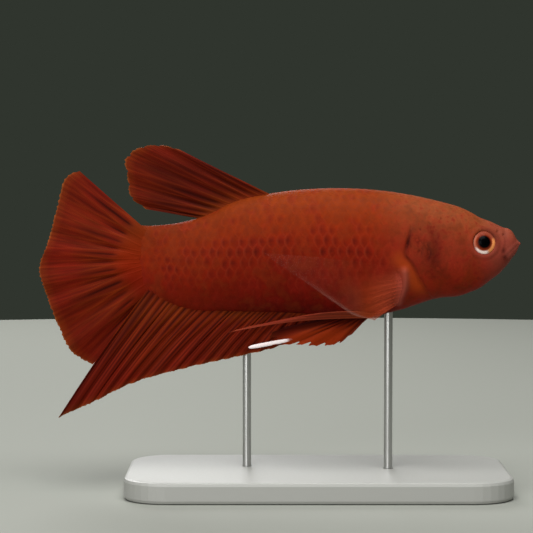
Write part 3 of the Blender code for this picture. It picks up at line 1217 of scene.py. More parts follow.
@dataclass(frozen=True)
class FinShape:
    """A rayed fin. Places are (back, out, up) in shares of the standard length.

    Attributes:
        name: the piece's name.
        node: the CAD node that it stands for.
        rays: how many rays it has.
        root: the line that it grows from.
        margin: the line of its ray tips.
        bow: how far a ray's middle stands off the straight line.
        fringe: the share of a ray's length by which the web stops short of the finest ray tips.
        notch: the share by which it stops short halfway between two rays.
        wave_mm: how far the sheet sways to both sides.
        cells: faces across each ray's band, and along the rays.
        root_mm: the fin's thickness at its root.
        fleshy: the share of the ray's length that the thick root takes.
        edge_root: the share of the root's thickness that its first and last edges keep.
        web_mm: the web's thickness.
        ridge_mm: how much the broad ridge of a ray adds near its root.
        ray_mm: how much the fine ray adds.
        forks: the shares of its length at which a ray starts to fork, first and second.
        uneven: how much the rays' spacing varies.
        mirror: 1, or -1 for a copy on the fish's right.
        seed: the seed of its creases.
        crease_width: how wide a crease is drawn, in bands.
        crease_start: the shares of the ray's length over which the creases set in.
        crease_reach: the shares of the ray's length at which the shortest and longest creases end.
        fine: how dark the painted shade in the fine creases between a ray's two branches is.
        rounding: the share by which its first and last edges stop short, which rounds its corners.
        sweep: how the ray tips crowd along the margin: evenly at 1, and towards its last end below 1.
        gloom: how dark its middle is.
        dark_edge: how dark the painted shade on its last edge is, which tones down the light its thick rim
            catches.
        flesh: the shares of the ray's length up to which its colours are the tail stalk's: all, and none.
    """

    name: str
    node: str
    rays: int
    root: tuple[tuple[float, float, float], ...]
    margin: tuple[tuple[float, float, float], ...]
    bow: tuple[float, float, float]
    fringe: float = 0.018
    notch: float = 0.0
    wave_mm: float = 0.10
    cells: tuple[int, int] = (16, 60)
    root_mm: float = 0.9
    fleshy: float = 0.07
    edge_root: float = 0.3
    web_mm: float = 0.09
    ridge_mm: float = 0.30
    ray_mm: float = 0.06
    forks: tuple[float, float] = (0.22, 0.58)
    uneven: float = 0.30
    mirror: int = 1
    seed: int = 3
    crease_width: float = 0.15
    crease_start: tuple[float, float] = (0.06, 0.20)
    crease_reach: tuple[float, float] = (0.45, 1.15)
    fine: float = 0.0
    rounding: tuple[float, float] = (0.0, 0.0)
    sweep: float = 1.0
    gloom: float = 0.0
    dark_edge: float = 0.0
    flesh: tuple[float, float] | None = None


@dataclass
class Fin:
    """One fin: a sheet of branching rays with thin webs and creases between them.

    Attributes:
        plan: where the fish lies.
        shape: the fin's design.
    """

    plan: FishPlan
    shape: FinShape

    def __post_init__(self) -> None:
        """Draws the rays' spacing and how deep and long each crease is."""
        shape = self.shape
        random = np.random.default_rng(shape.seed)
        widths = random.uniform(1 - shape.uneven, 1 + shape.uneven, shape.rays)
        self._ends = np.concatenate([[0.0], np.cumsum(widths)]) / widths.sum()
        self._depth = random.uniform(0.50, 1.0, shape.rays + 1)
        self._length = random.uniform(*shape.crease_reach, shape.rays + 1)
        self._ragged = random.uniform(0.0, 1.0, shape.rays * 5)

    def band(self, across: Array) -> Array:
        """Which ray's band a place lies in, counted in bands, with a ray near each edge of the fin.

        Args:
            across: the share of the way across the fin.

        Returns:
            The place in bands.
        """
        lead = 0.40
        even = np.interp(across, self._ends, np.arange(self.shape.rays + 1.0)) / self.shape.rays
        return lead + even * (self.shape.rays - 2 * lead)

    def on_ray(self, band: Array, reach: Array) -> Array:
        """How much of a ray is at a place: 1 on its crest and 0 on the web.

        Args:
            band: the place across the fin, in bands.
            reach: how far along the ray, 0 at the root and 1 at its tip.

        Returns:
            The share, smoothly falling off from each of the ray's branches.
        """
        first, second = self.shape.forks
        spread = 0.25 * smooth_step(first, first + 0.45, reach)
        fine_spread = 0.125 * smooth_step(second, second + 0.40, reach)
        local = np.abs(band % 1.0 - 0.5)
        away = np.abs(np.abs(local - spread) - fine_spread)
        return np.exp(-((away / (0.085 - 0.035 * reach)) ** 2))

    def crease(self, band: Array, reach: Array, width: float) -> Array:
        """How deep in a crease between two rays a place lies, 0 to 1.

        Args:
            band: the place across the fin, in bands.
            reach: how far along the ray.
            width: the crease's half width, in bands.

        Returns:
            The share.
        """
        index = np.clip(np.rint(band).astype(int), 0, self.shape.rays)
        length = self._length[index]
        held = smooth_step(*self.shape.crease_start, reach) * smooth_step(length, 0.45 * length, reach)
        return hump(np.abs(band - np.rint(band)), width) * self._depth[index] * held

    def build(self) -> bpy.types.Object:
        """Shapes a grid to the fin, marks it and thickens it.

        Returns:
            The fin, with its markings' numbers.
        """
        shape = self.shape
        columns, rows = shape.rays * shape.cells[0], shape.cells[1]
        deselect_all()
        bpy.ops.mesh.primitive_grid_add(x_subdivisions=columns, y_subdivisions=rows, size=1.0)
        fin = bpy.context.object
        flat = read_points(fin)
        across, reach = flat[:, 0] + 0.5, flat[:, 1] + 0.5
        band = self.band(across)
        reached = reach * (1 - self.shortfall(across, band))
        root = spread_along(shape.root, across)
        spots = root + (spread_along(shape.margin, across**shape.sweep) - root) * reached[:, None]
        spots += np.array(shape.bow) * np.sin(math.pi * reached)[:, None]
        run = np.linalg.norm(spots - root, axis=1) * self.plan.length / MM
        spots[:, 1] *= shape.mirror
        places = self.plan.place(spots[:, 0], spots[:, 1], spots[:, 2])
        sway = np.cos(math.pi * band) * smooth_step(0.05, 0.35, reached) * shape.wave_mm * MM
        places += self.facing(places, rows + 1) * sway[:, None]
        write_points(fin, places)
        self.mark(fin, across, reached, band)
        write_values(fin, run=run)
        self.thicken(fin, self.thickness(across, reached, band))
        smooth(fin, 70)
        return fin

    @staticmethod
    def inner(across: Array) -> Array:
        """How much a place counts as inside the fin: 0 at its first and last edges."""
        return smooth_step(0.0, 0.04, across) * smooth_step(1.0, 0.96, across)

    def shortfall(self, across: Array, band: Array) -> Array:
        """How far the margin stops short of the line of the ray tips, which makes it ragged.

        Args:
            across: the share of the way across the fin.
            band: the same, in bands.

        Returns:
            The shares of the ray's length.
        """
        shape = self.shape
        tip_ray = self.on_ray(band, np.ones(len(band)))
        ragged = np.interp(across, np.linspace(0, 1, len(self._ragged)), self._ragged)
        short = shape.fringe * ((0.3 + 0.7 * ragged) * (1 - tip_ray) + 0.4 * ragged)
        short += shape.notch * smooth_step(0.45, 1.0, 2 * np.abs(band % 1.0 - 0.5))
        rounded = shape.rounding[0] * hump(across, 0.022) + shape.rounding[1] * hump(1 - across, 0.022)
        return self.inner(across) * short + rounded

    def mark(self, fin: bpy.types.Object, across: Array, reached: Array, band: Array) -> None:
        """Stores the numbers that the fin's markings are drawn from, and a map that follows its rays.

        Args:
            fin: the sheet.
            across: the share of the way across the fin.
            reached: the share of the ray's length.
            band: the place across the fin, in bands.
        """
        shape = self.shape
        first = shape.forks[0]
        # The creases, the splits between a ray's branches and the dark last edge take painted shade.
        split = hump(2 * np.abs(band % 1.0 - 0.5), shape.crease_width)
        split *= shape.fine * smooth_step(first, first + 0.3, reached) * smooth_step(1.05, 0.7, reached)
        gloom = shape.gloom * smooth_step(0.05, 0.30, reached) * smooth_step(1.0, 0.65, reached)
        shade = np.maximum(gloom, shape.dark_edge * smooth_step(0.88, 0.985, across))
        crease = np.maximum(self.crease(band, reached, shape.crease_width), split)
        write_values(
            fin, ray=self.on_ray(band, reached), reach=reached, crease=crease, across=across, shade=shade
        )
        write_map(fin, "Rays", np.column_stack([band, reached]))

    def thickness(self, across: Array, reached: Array, band: Array) -> Array:
        """How thick the fin is: web, fine rays, broad ridges and fleshy root.

        Args:
            across: the share of the way across the fin.
            reached: the share of the ray's length.
            band: the place across the fin, in bands.

        Returns:
            The thicknesses, in millimetres.
        """
        shape = self.shape
        rays = self.on_ray(band, reached) * (1 - 0.7 * reached)
        ridge = (1 - self.crease(band, reached, 0.26)) * smooth_step(0.95, 0.1, reached)
        ridge *= smooth_step(0.0, shape.fleshy, reached) * (0.3 + 0.7 * self.inner(across))
        middle = np.sqrt(np.clip(np.sin(math.pi * across), 0.0, 1.0))
        flesh = hump(reached, shape.fleshy) * (shape.edge_root + (1 - shape.edge_root) * middle)
        thick = shape.web_mm + shape.ray_mm * rays + shape.ridge_mm * ridge
        return thick + (shape.root_mm - shape.web_mm) * flesh

    @staticmethod
    def facing(places: Array, row_count: int) -> Array:
        """The fin sheet's normals, from a grid of places in rows that run across the fin.

        Args:
            places: the sheet's points.
            row_count: how many rows there are.

        Returns:
            One unit row for each point.
        """
        grid = places.reshape(row_count, -1, 3)
        normal = np.cross(np.gradient(grid, axis=1), np.gradient(grid, axis=0))
        normal /= np.maximum(np.linalg.norm(normal, axis=-1, keepdims=True), 1e-12)
        return normal.reshape(-1, 3)

    @staticmethod
    def thicken(fin: bpy.types.Object, thick_mm: Array) -> None:
        """Turns the sheet to a closed shell.

        Args:
            fin: the sheet.
            thick_mm: the thickness wanted at each vertex.
        """
        most = float(thick_mm.max())
        group = fin.vertex_groups.new(name="thickness")
        levels = np.round(thick_mm / most * 250).astype(int)
        for level in np.unique(levels):
            group.add(np.flatnonzero(levels == level).tolist(), level / 250, "REPLACE")
        wall = fin.modifiers.new("wall", "SOLIDIFY")
        wall.thickness = most * MM
        wall.offset = 0
        wall.vertex_group = group.name
        apply_modifier(fin, wall.name)


CAUDAL = FinShape(
    name="tail_fin_rays",
    node="caudal_fin",
    rays=13,
    root=((0.93, 0.0, 0.027), (0.975, 0.0, -0.018), (0.925, 0.001, -0.096)),
    margin=(
        (1.136, 0.01, 0.209), (1.166, 0.01, 0.187), (1.18, 0.008, 0.15), (1.192, 0.006, 0.1),
        (1.213, 0.0, 0.02), (1.2355, -0.003, -0.052), (1.221, 0.0, -0.105), (1.191, 0.01, -0.188),
        (1.171, 0.016, -0.238), (1.1535, 0.02, -0.264), (1.13, 0.024, -0.284), (1.099, 0.028, -0.297),
    ),
    bow=(0.0, -0.003, 0.0),
    wave_mm=0.15,
    cells=(16, 72),
    root_mm=1.10,
    fleshy=0.27,
    edge_root=0.85,
    ridge_mm=0.34,
    fringe=0.013,
    seed=5,
    crease_width=0.105,
    crease_start=(0.21, 0.30),
    fine=0.22,
    crease_reach=(0.60, 1.05),
    rounding=(0.030, 0.0),
    flesh=(0.14, 0.36),
)
DORSAL = FinShape(
    name="dorsal_fin_rays",
    node="dorsal_fin",
    rays=9,
    root=((0.612, 0.0, 0.131), (0.71, 0.0, 0.112), (0.8, 0.0, 0.078)),
    margin=(
        (0.872, -0.01, 0.258), (0.925, -0.008, 0.271), (0.975, -0.004, 0.265), (1.012, 0.0, 0.238),
        (1.008, 0.005, 0.19), (0.998, 0.009, 0.136), (0.96, 0.01, 0.106),
    ),
    bow=(0.004, -0.006, 0.001),
    fringe=0.012,
    notch=0.020,
    ridge_mm=0.40,
    seed=8,
    crease_width=0.27,
    crease_reach=(0.9, 1.4),
    gloom=0.36,
    fine=0.30,
)
ANAL = FinShape(
    name="anal_fin_rays",
    node="anal_fin",
    rays=34,
    root=((0.47, 0.0, -0.15), (0.6, 0.0, -0.145), (0.8, 0.0, -0.132), (0.945, -0.006, -0.088)),
    margin=(
        (0.545, 0.002, -0.212), (0.625, 0.001, -0.25), (0.715, -0.002, -0.272), (0.856, -0.008, -0.303),
        (1.005, -0.02, -0.346), (1.108, -0.03, -0.396), (1.182, -0.036, -0.428),
    ),
    bow=(0.004, -0.007, 0.002),
    fringe=0.010,
    wave_mm=0.15,
    cells=(9, 64),
    fleshy=0.05,
    ridge_mm=0.24,
    forks=(0.16, 2.0),
    uneven=0.50,
    seed=12,
    crease_width=0.16,
    crease_start=(-0.08, 0.04),
    crease_reach=(0.5, 1.3),
    edge_root=0.1,
    gloom=0.02,
    fine=0.75,
    dark_edge=0.50,
    flesh=(0.02, 0.13),
)
PECTORAL = FinShape(
    name="pectoral_fin_rays",
    node="pectoral_fin",
    rays=12,
    root=((0.304, 0.076, -0.04), (0.3, 0.068, -0.086), (0.313, 0.046, -0.136)),
    margin=(
        (0.655, 0.15, 0.0), (0.61, 0.146, -0.036), (0.545, 0.139, -0.08), (0.48, 0.13, -0.126),
        (0.43, 0.121, -0.158), (0.376, 0.108, -0.172),
    ),
    bow=(0.0, 0.020, 0.004),
    fringe=0.010,
    wave_mm=0.02,
    cells=(10, 56),
    root_mm=0.30,
    fleshy=0.13,
    web_mm=0.05,
    ridge_mm=0.04,
    ray_mm=0.08,
    forks=(0.35, 0.70),
    uneven=0.15,
    sweep=0.50,
)
NEAR_PELVIC = FinShape(
    name="pelvic_fin_right_rays",
    node="pelvic_fin_right",
    rays=4,
    root=((0.37, -0.026, -0.158), (0.387, -0.026, -0.171)),
    margin=(
        (0.6, -0.048, -0.176), (0.65, -0.047, -0.184), (0.7, -0.044, -0.195), (0.745, -0.042, -0.208),
    ),
    bow=(0.0, -0.024, 0.012),
    fringe=0.02,
    notch=0.03,
    wave_mm=0.05,
    cells=(12, 64),
    ridge_mm=0.20,
    forks=(0.5, 2.0),
)
FAR_PELVIC = FinShape(
    name="pelvic_fin_left_rays",
    node="pelvic_fin_left",
    rays=9,
    root=((0.37, 0.01, -0.158), (0.402, 0.01, -0.158)),
    margin=(
        (0.429, 0.006, -0.216), (0.452, 0.0, -0.234), (0.501, -0.01, -0.247), (0.56, -0.018, -0.243),
        (0.602, -0.022, -0.242), (0.648, -0.024, -0.238), (0.64, -0.02, -0.214), (0.6, -0.016, -0.196),
    ),
    bow=(0.0, -0.006, 0.002),
    fringe=0.02,
    notch=0.08,
    wave_mm=0.12,
    cells=(12, 64),
    ridge_mm=0.24,
    crease_width=0.24,
    forks=(0.45, 2.0),
)


@dataclass
class PaleTip:
    """The white free end of the left pelvic fin's longest ray, round and flat like a grain of rice.

    Attributes:
        plan: where the fish lies.
        start: where it leaves the red ray, in shares of the standard length.
        end: its round free end.
        half_mm: its half height and half thickness where it is fullest, in millimetres.
    """

    plan: FishPlan
    start: tuple[float, float, float] = (0.582, -0.024, -0.2275)
    end: tuple[float, float, float] = (0.6955, -0.024, -0.2490)
    half_mm: tuple[float, float] = (0.29, 0.17)

    def build(self) -> bpy.types.Object:
        """Stretches a ball along the ray, fuller towards its free end.

        Returns:
            The tip.
        """
        deselect_all()
        bpy.ops.mesh.primitive_uv_sphere_add(segments=32, ring_count=40, radius=1.0)
        tip = bpy.context.object
        ball = read_points(tip)
        along = (1 + ball[:, 2]) / 2
        start, end = (self.plan.place(*(np.array(v) for v in place)) for place in (self.start, self.end))
        way = (end - start) / np.linalg.norm(end - start)
        across = np.cross(way, (0.0, 1.0, 0.0))
        square = ball[:, 2] ** 2
        full = (0.80 + 0.20 * smooth_step(0.0, 0.40, along)) * np.sqrt(1 + square + square**2)
        places = start + np.outer(along, end - start)
        places += np.outer(ball[:, 0] * full * self.half_mm[0] * MM, across)
        places += np.outer(ball[:, 1] * full * self.half_mm[1] * MM, (0.0, 1.0, 0.0))
        write_points(tip, places)
        write_values(tip, tint=smooth_step(0.16, 0.05, along))
        face_outwards(tip)
        smooth(tip, 180)
        return tip


@dataclass
class Eye:
    """One eye: a flattened ball with a domed lens in its pupil. Lengths are in millimetres.

    Attributes:
        plan: where the fish lies.
        side: the side that it is on.
        radius: the ball's radius seen from the side.
        depth: how deep the half ball is.
        pupil: the pupil's radius.
        iris: the radius that the iris map counts as 1.
        lag: how far the pupil lies behind the ball's pole.
        stand_out: how far the ball's centre lies from the midplane.
        turn: how far it looks forwards.
        tilt: how far it looks up.
    """

    plan: FishPlan
    side: Side
    radius: float = 1.66
    depth: float = 0.86
    pupil: float = 0.82
    iris: float = 1.60
    lag: float = 0.20
    stand_out: float = 2.69
    turn: float = math.radians(13)
    tilt: float = math.radians(12)

    def build(self) -> bpy.types.Object:
        """Shapes a ball to the eye.

        Returns:
            The eye, with a map of its iris: forwards along U and upwards along V.
        """
        centre = Vector(self.plan.place(BALL_BACK, 0.0, BALL_UP))
        centre.y = self.side.value * self.stand_out * MM
        deselect_all()
        bpy.ops.mesh.primitive_uv_sphere_add(segments=96, ring_count=64, radius=1.0)
        eye = bpy.context.object
        ball = read_points(eye)
        facing = -self.side.value
        forwards, upwards = ball[:, 0] * self.radius + self.lag, ball[:, 1] * facing * self.radius
        away = np.hypot(forwards, upwards)
        lens = 0.10 * smooth_step(self.pupil + 0.05, self.pupil - 0.35, away)
        ring = -0.05 * hump(away - (self.pupil + self.radius) / 2, 0.25)
        height = ball[:, 2] * self.depth + np.where(ball[:, 2] > 0, lens + ring, 0.0)
        local = np.column_stack([ball[:, :2] * self.radius, height]) * MM
        aim = (
            Matrix.Rotation(facing * self.turn, 4, "Z")
            @ Matrix.Rotation(facing * (math.pi / 2 - self.tilt), 4, "X")
        )
        write_points(eye, local @ np.array(aim.to_3x3()).T + np.array(centre))
        write_map(eye, "Iris", np.column_stack([forwards, upwards]) / self.iris)
        smooth(eye, 180)
        return eye


@dataclass(frozen=True)
class HideFinish(Finish):
    """Fish skin and scales under a thin film of slime.

    To the eye: saturated orange-red on the back that deepens to dark wine red on the belly, soft dull
    highlights from the slime, painted shade in the heart and a painted highlight on the free edge of each
    flank scale, painted shade in the head's hollows, and painted orange light behind the gill cover.
    """

    name: str = "fish_skin"
    head: Ramp = (
        (0.0, "#6d1b09"), (0.18, "#7a2109"), (0.4, "#7c2613"), (0.62, "#802d17"), (0.82, "#82391b"),
        (1.0, "#844221"),
    )
    flank: Ramp = (
        (0.0, "#4c0601"), (0.18, "#600a01"), (0.4, "#701404"), (0.6, "#7b1c04"), (0.8, "#7c2704"),
        (1.0, "#7c3007"),
    )
    tail: Ramp = (
        (0.0, "#611403"), (0.25, "#6c1402"), (0.45, "#791c03"), (0.65, "#751f03"), (0.85, "#6e2104"),
        (1.0, "#6a2506"),
    )
    cloud_sizes_mm: tuple[float, ...] = (2.5, 0.9, 0.45)

    def surface(self, tree: bpy.types.NodeTree) -> dict[str, Any]:
        """Lays out the pattern.

        Args:
            tree: the material's node tree.

        Returns:
            The shader's settings and links.
        """
        marks = {
            name: add_node(tree, "ShaderNodeAttribute", {"attribute_name": name}).outputs["Fac"]
            for name in ("rise", "back", "stain", "rosy", "glow", "spot", "edge", "tone")
        }
        head, flank, tail = (
            add_node(tree, "ShaderNodeValToRGB", {"stops": stops}, {"Fac": marks["rise"]}).outputs["Color"]
            for stops in (self.head, self.flank, self.tail)
        )
        places = add_node(tree, "ShaderNodeTexCoord").outputs["Object"]
        wide, fine, finest = (
            add_node(
                tree,
                "ShaderNodeTexNoise",
                inputs={"Vector": places, "Scale": 1 / (size * MM), "Detail": 2.5, "Roughness": 0.6},
            ).outputs[0]
            for size in self.cloud_sizes_mm
        )
        # Each: what it reads, its lowest and highest value there, and what these turn to.
        ranges = {
            "flank": (marks["back"], 0.24, 0.40, 0.0, 1.0),
            "tail": (marks["back"], 0.55, 0.92, 0.0, 1.0),
            "head": (marks["back"], 0.50, 0.20, 0.0, 1.0),
            "crimson": (wide, 0.48, 0.66, 0.0, 1.0),
            "orange": (wide, 0.50, 0.34, 0.0, 1.0),
            "wide": (wide, 0.30, 0.70, 0.90, 1.10),
            "fine": (fine, 0.30, 0.70, 0.92, 1.09),
            "wide_on_head": (wide, 0.34, 0.66, 0.91, 1.09),
            "fine_on_head": (fine, 0.34, 0.66, 0.90, 1.10),
            "specks": (finest, 0.60, 0.74, 0.0, 1.0),
            "blotches": (fine, 0.46, 0.74, 0.0, 1.0),
            "tone": (marks["tone"], 0.0, 1.0, 1.0, 1.14),
            "patchy": (wide, 0.36, 0.62, 0.40, 1.15),
            "rough": (finest, 0.3, 0.7, 0.56, 0.70),
        }
        masks = {
            name: add_node(
                tree,
                "ShaderNodeMapRange",
                {"interpolation_type": "SMOOTHSTEP"},
                dict(zip(("Value", "From Min", "From Max", "To Min", "To Max"), values, strict=True)),
            ).outputs[0]
            for name, values in ranges.items()
        }
        specks, blush, spots, edges = (
            add_node(tree, "ShaderNodeMath", {"operation": "MULTIPLY"}, {0: mask, 1: share}).outputs[0]
            for mask, share in (
                (masks["head"], masks["specks"]),
                (masks["head"], masks["blotches"]),
                (marks["spot"], masks["patchy"]),
                (marks["edge"], masks["patchy"]),
            )
        )
        colour = paint(
            tree,
            head,
            (
                Layer(masks["flank"], 1.0, flank),
                Layer(masks["tail"], 1.0, tail),
                # Clouds of crimson and of orange pigment, most of all on the head, and dark specks.
                Layer(masks["crimson"], 0.35, "#6c1108"),
                Layer(masks["orange"], 0.20, "#833310"),
                Layer(1.0, 1.0, masks["wide"], "MULTIPLY"),
                Layer(1.0, 1.0, masks["fine"], "MULTIPLY"),
                Layer(masks["head"], 0.8, masks["wide_on_head"], "MULTIPLY"),
                Layer(masks["head"], 0.8, masks["fine_on_head"], "MULTIPLY"),
                Layer(blush, 0.62, "#68100a"),
                Layer(specks, 0.12, "#3e0c04"),
                # Painted light: lit orange on the flesh behind the gill cover.
                Layer(marks["glow"], 0.80, "#a43e10"),
                # Painted shade in each flank scale's heart and a painted highlight on its free edge.
                Layer(spots, 0.80, "#400501"),
                Layer(edges, 0.23, "#96391e"),
                Layer(marks["rosy"], 0.78, "#9c4c3e"),
                # The skin's own dark marks, and painted shade in its grooves, slit, creases and dimple, under
                # the upper lip and under the brow.
                Layer(marks["stain"], 0.85, "#1a0101"),
                Layer(1.0, 1.0, masks["tone"], "MULTIPLY"),
            ),
        )
        grain = add_node(
            tree, "ShaderNodeBump", inputs={"Height": finest, "Strength": 0.35, "Distance": 0.05 * MM}
        )
        return {
            "Base Color": colour,
            "Roughness": masks["rough"],
            "IOR": 1.36,
            "Specular IOR Level": 0.09,
            "Normal": grain.outputs[0],
        }


@dataclass(frozen=True)
class FinFinish(Finish):
    """Fin web and rays with dark red pigment.

    To the eye: brick-red branching rays over wine-red webs, almost black with painted shade in the creases
    and the shaded parts, a little brighter and more orange at the root, and lighter along the thin margin
    with painted light.
    """

    name: str = "pigmented_fin_web"
    # The last stops lighten the thin margin with painted light shining through it.
    web: Ramp = (
        (0.0, "#6c2806"), (0.16, "#692306"), (0.32, "#641905"), (0.9, "#5f1505"), (0.975, "#6b2309"),
        (1.0, "#914e21"),
    )
    ray: Ramp = (
        (0.0, "#752e08"), (0.16, "#783209"), (0.36, "#782a08"), (0.9, "#712409"), (0.975, "#7a320f"),
        (1.0, "#9c5829"),
    )
    # Near black, for the painted shade in creases and shaded parts.
    fold: str = "#200201"
    streaks: tuple[tuple[float, float, float], ...] = ((1.7, 0.82, 1.14), (5.0, 0.8, 1.15), (12.0, 0.9, 1.08))
    cloud_mm: float = 7.0

    def surface(self, tree: bpy.types.NodeTree) -> dict[str, Any]:
        """Lays out the pattern.

        Args:
            tree: the material's node tree.

        Returns:
            The shader's settings and links.
        """
        marks = {
            name: add_node(tree, "ShaderNodeAttribute", {"attribute_name": name}).outputs["Fac"]
            for name in ("ray", "reach", "crease", "pale", "shade", "glow", "flesh", "rise")
        }
        stalk, web, bone = (
            add_node(tree, "ShaderNodeValToRGB", {"stops": stops}, {"Fac": marks[name]}).outputs["Color"]
            for stops, name in ((HideFinish.tail, "rise"), (self.web, "reach"), (self.ray, "reach"))
        )
        lines = add_node(tree, "ShaderNodeUVMap", {"uv_map": "Rays"}).outputs[0]
        # Rays show less and less towards the margin.
        fading = {"Value": marks["reach"], "From Min": 0.25, "From Max": 0.9, "To Min": 0.65, "To Max": 0.30}
        strength = add_node(tree, "ShaderNodeMapRange", inputs=fading).outputs[0]
        on_ray = add_node(
            tree, "ShaderNodeMath", {"operation": "MULTIPLY"}, {0: marks["ray"], 1: strength}
        ).outputs[0]
        places = add_node(tree, "ShaderNodeTexCoord").outputs["Object"]
        clouds = add_node(
            tree, "ShaderNodeTexNoise", inputs={"Vector": places, "Scale": 1 / (self.cloud_mm * MM)}
        ).outputs[0]
        crimson = add_node(
            tree, "ShaderNodeMapRange", inputs={"Value": clouds, "From Min": 0.46, "From Max": 0.64}
        ).outputs[0]
        layers = [Layer(on_ray, 1.0, bone), Layer(crimson, 0.36, "#6c0e08")]
        # Pigment runs in streaks along the rays: two, five and twelve across a ray's band, few along it.
        for across, low, high in self.streaks:
            drawn = add_node(
                tree, "ShaderNodeMapping", inputs={"Vector": lines, "Scale": (across, 2.2, 1.0)}
            ).outputs[0]
            streaks = add_node(
                tree, "ShaderNodeTexNoise", inputs={"Vector": drawn, "Scale": 1.0, "Detail": 3.0}
            ).outputs[0]
            tone = add_node(
                tree,
                "ShaderNodeMapRange",
                {"interpolation_type": "SMOOTHSTEP"},
                {"Value": streaks, "From Min": 0.30, "From Max": 0.70, "To Min": low, "To Max": high},
            ).outputs[0]
            layers.append(Layer(1.0, 1.0, tone, "MULTIPLY"))
        layers += [
            Layer(marks["flesh"], 1.0, stalk),
            # Painted light shining through the thin lower part of the left pelvic fin.
            Layer(marks["glow"], 0.60, "#9d330c"),
            # Painted shade: near black in the creases and on the shaded parts.
            Layer(marks["crease"], 0.92, self.fold),
            Layer(marks["shade"], 0.80, self.fold),
            Layer(marks["pale"], 1.0, "#a04c36"),
        ]
        # The rays are jointed: the joints are drawn at 60 to a fin's depth, about as coarse as they show.
        joints = add_node(
            tree,
            "ShaderNodeTexWave",
            {"wave_type": "BANDS", "bands_direction": "Y"},
            {"Vector": lines, "Scale": 19.0, "Distortion": 0.6, "Detail": 1.0},
        ).outputs[1]
        relief = add_node(
            tree, "ShaderNodeMath", {"operation": "MULTIPLY"}, {0: joints, 1: marks["ray"]}
        ).outputs[0]
        bump = add_node(
            tree, "ShaderNodeBump", inputs={"Height": relief, "Strength": 0.4, "Distance": 0.02 * MM}
        )
        return {
            "Base Color": paint(tree, web, tuple(layers)),
            "Roughness": 0.58,
            "IOR": 1.36,
            "Specular IOR Level": 0.06,
            "Normal": bump.outputs[0],
        }


@dataclass(frozen=True)
class PaleFinish(Finish):
    """Bare fin ray with no pigment.

    To the eye: opaque milky white, a little rosy where the red ray ends.
    """

    name: str = "white_fin_ray"

    def surface(self, tree: bpy.types.NodeTree) -> dict[str, Any]:
        """Lays out the pattern.

        Args:
            tree: the material's node tree.

        Returns:
            The shader's settings and links.
        """
        tint = add_node(tree, "ShaderNodeAttribute", {"attribute_name": "tint"}).outputs["Fac"]
        colour = paint(tree, linear("#fff0f0"), (Layer(tint, 1.0, "#934533"),))
        return {"Base Color": colour, "Roughness": 0.4, "IOR": 1.4}


@dataclass(frozen=True)
class ClearFinFinish(Finish):
    """Clear fin web with hair-thin rays, on a pink fleshy root.

    To the eye: the root is solid and pink, the rays fade out over the first half, and the web is only a
    faint pale haze with a lighter rim.
    """

    name: str = "clear_fin_web"
    colours: Ramp = ((0.0, "#bc5444"), (0.10, "#b2472e"), (0.40, "#a43e1c"), (1.0, "#9c6c60"))

    def surface(self, tree: bpy.types.NodeTree) -> dict[str, Any]:
        """Lays out the pattern.

        Args:
            tree: the material's node tree.

        Returns:
            The shader's settings and links.
        """
        pale, solid = (
            add_node(tree, "ShaderNodeAttribute", {"attribute_name": name}).outputs["Fac"]
            for name in ("pale", "solid")
        )
        colour = add_node(tree, "ShaderNodeValToRGB", {"stops": self.colours}, {"Fac": pale}).outputs["Color"]
        return {
            "Base Color": colour,
            "Roughness": 0.55,
            "IOR": 1.36,
            "Specular IOR Level": 0.06,
            "Alpha": solid,
        }


@dataclass(frozen=True)
class Crescent:
    """A bright or dark arc on the iris.

    Attributes:
        degrees: the middle of the arc, from forwards round to upwards.
        half_arc: how far it reaches to each side, in degrees.
        inner: the iris radii over which it sets in.
        colour: its colour.
        share: how strong it is.
    """

    degrees: float
    half_arc: float
    inner: tuple[float, float]
    colour: str
    share: float


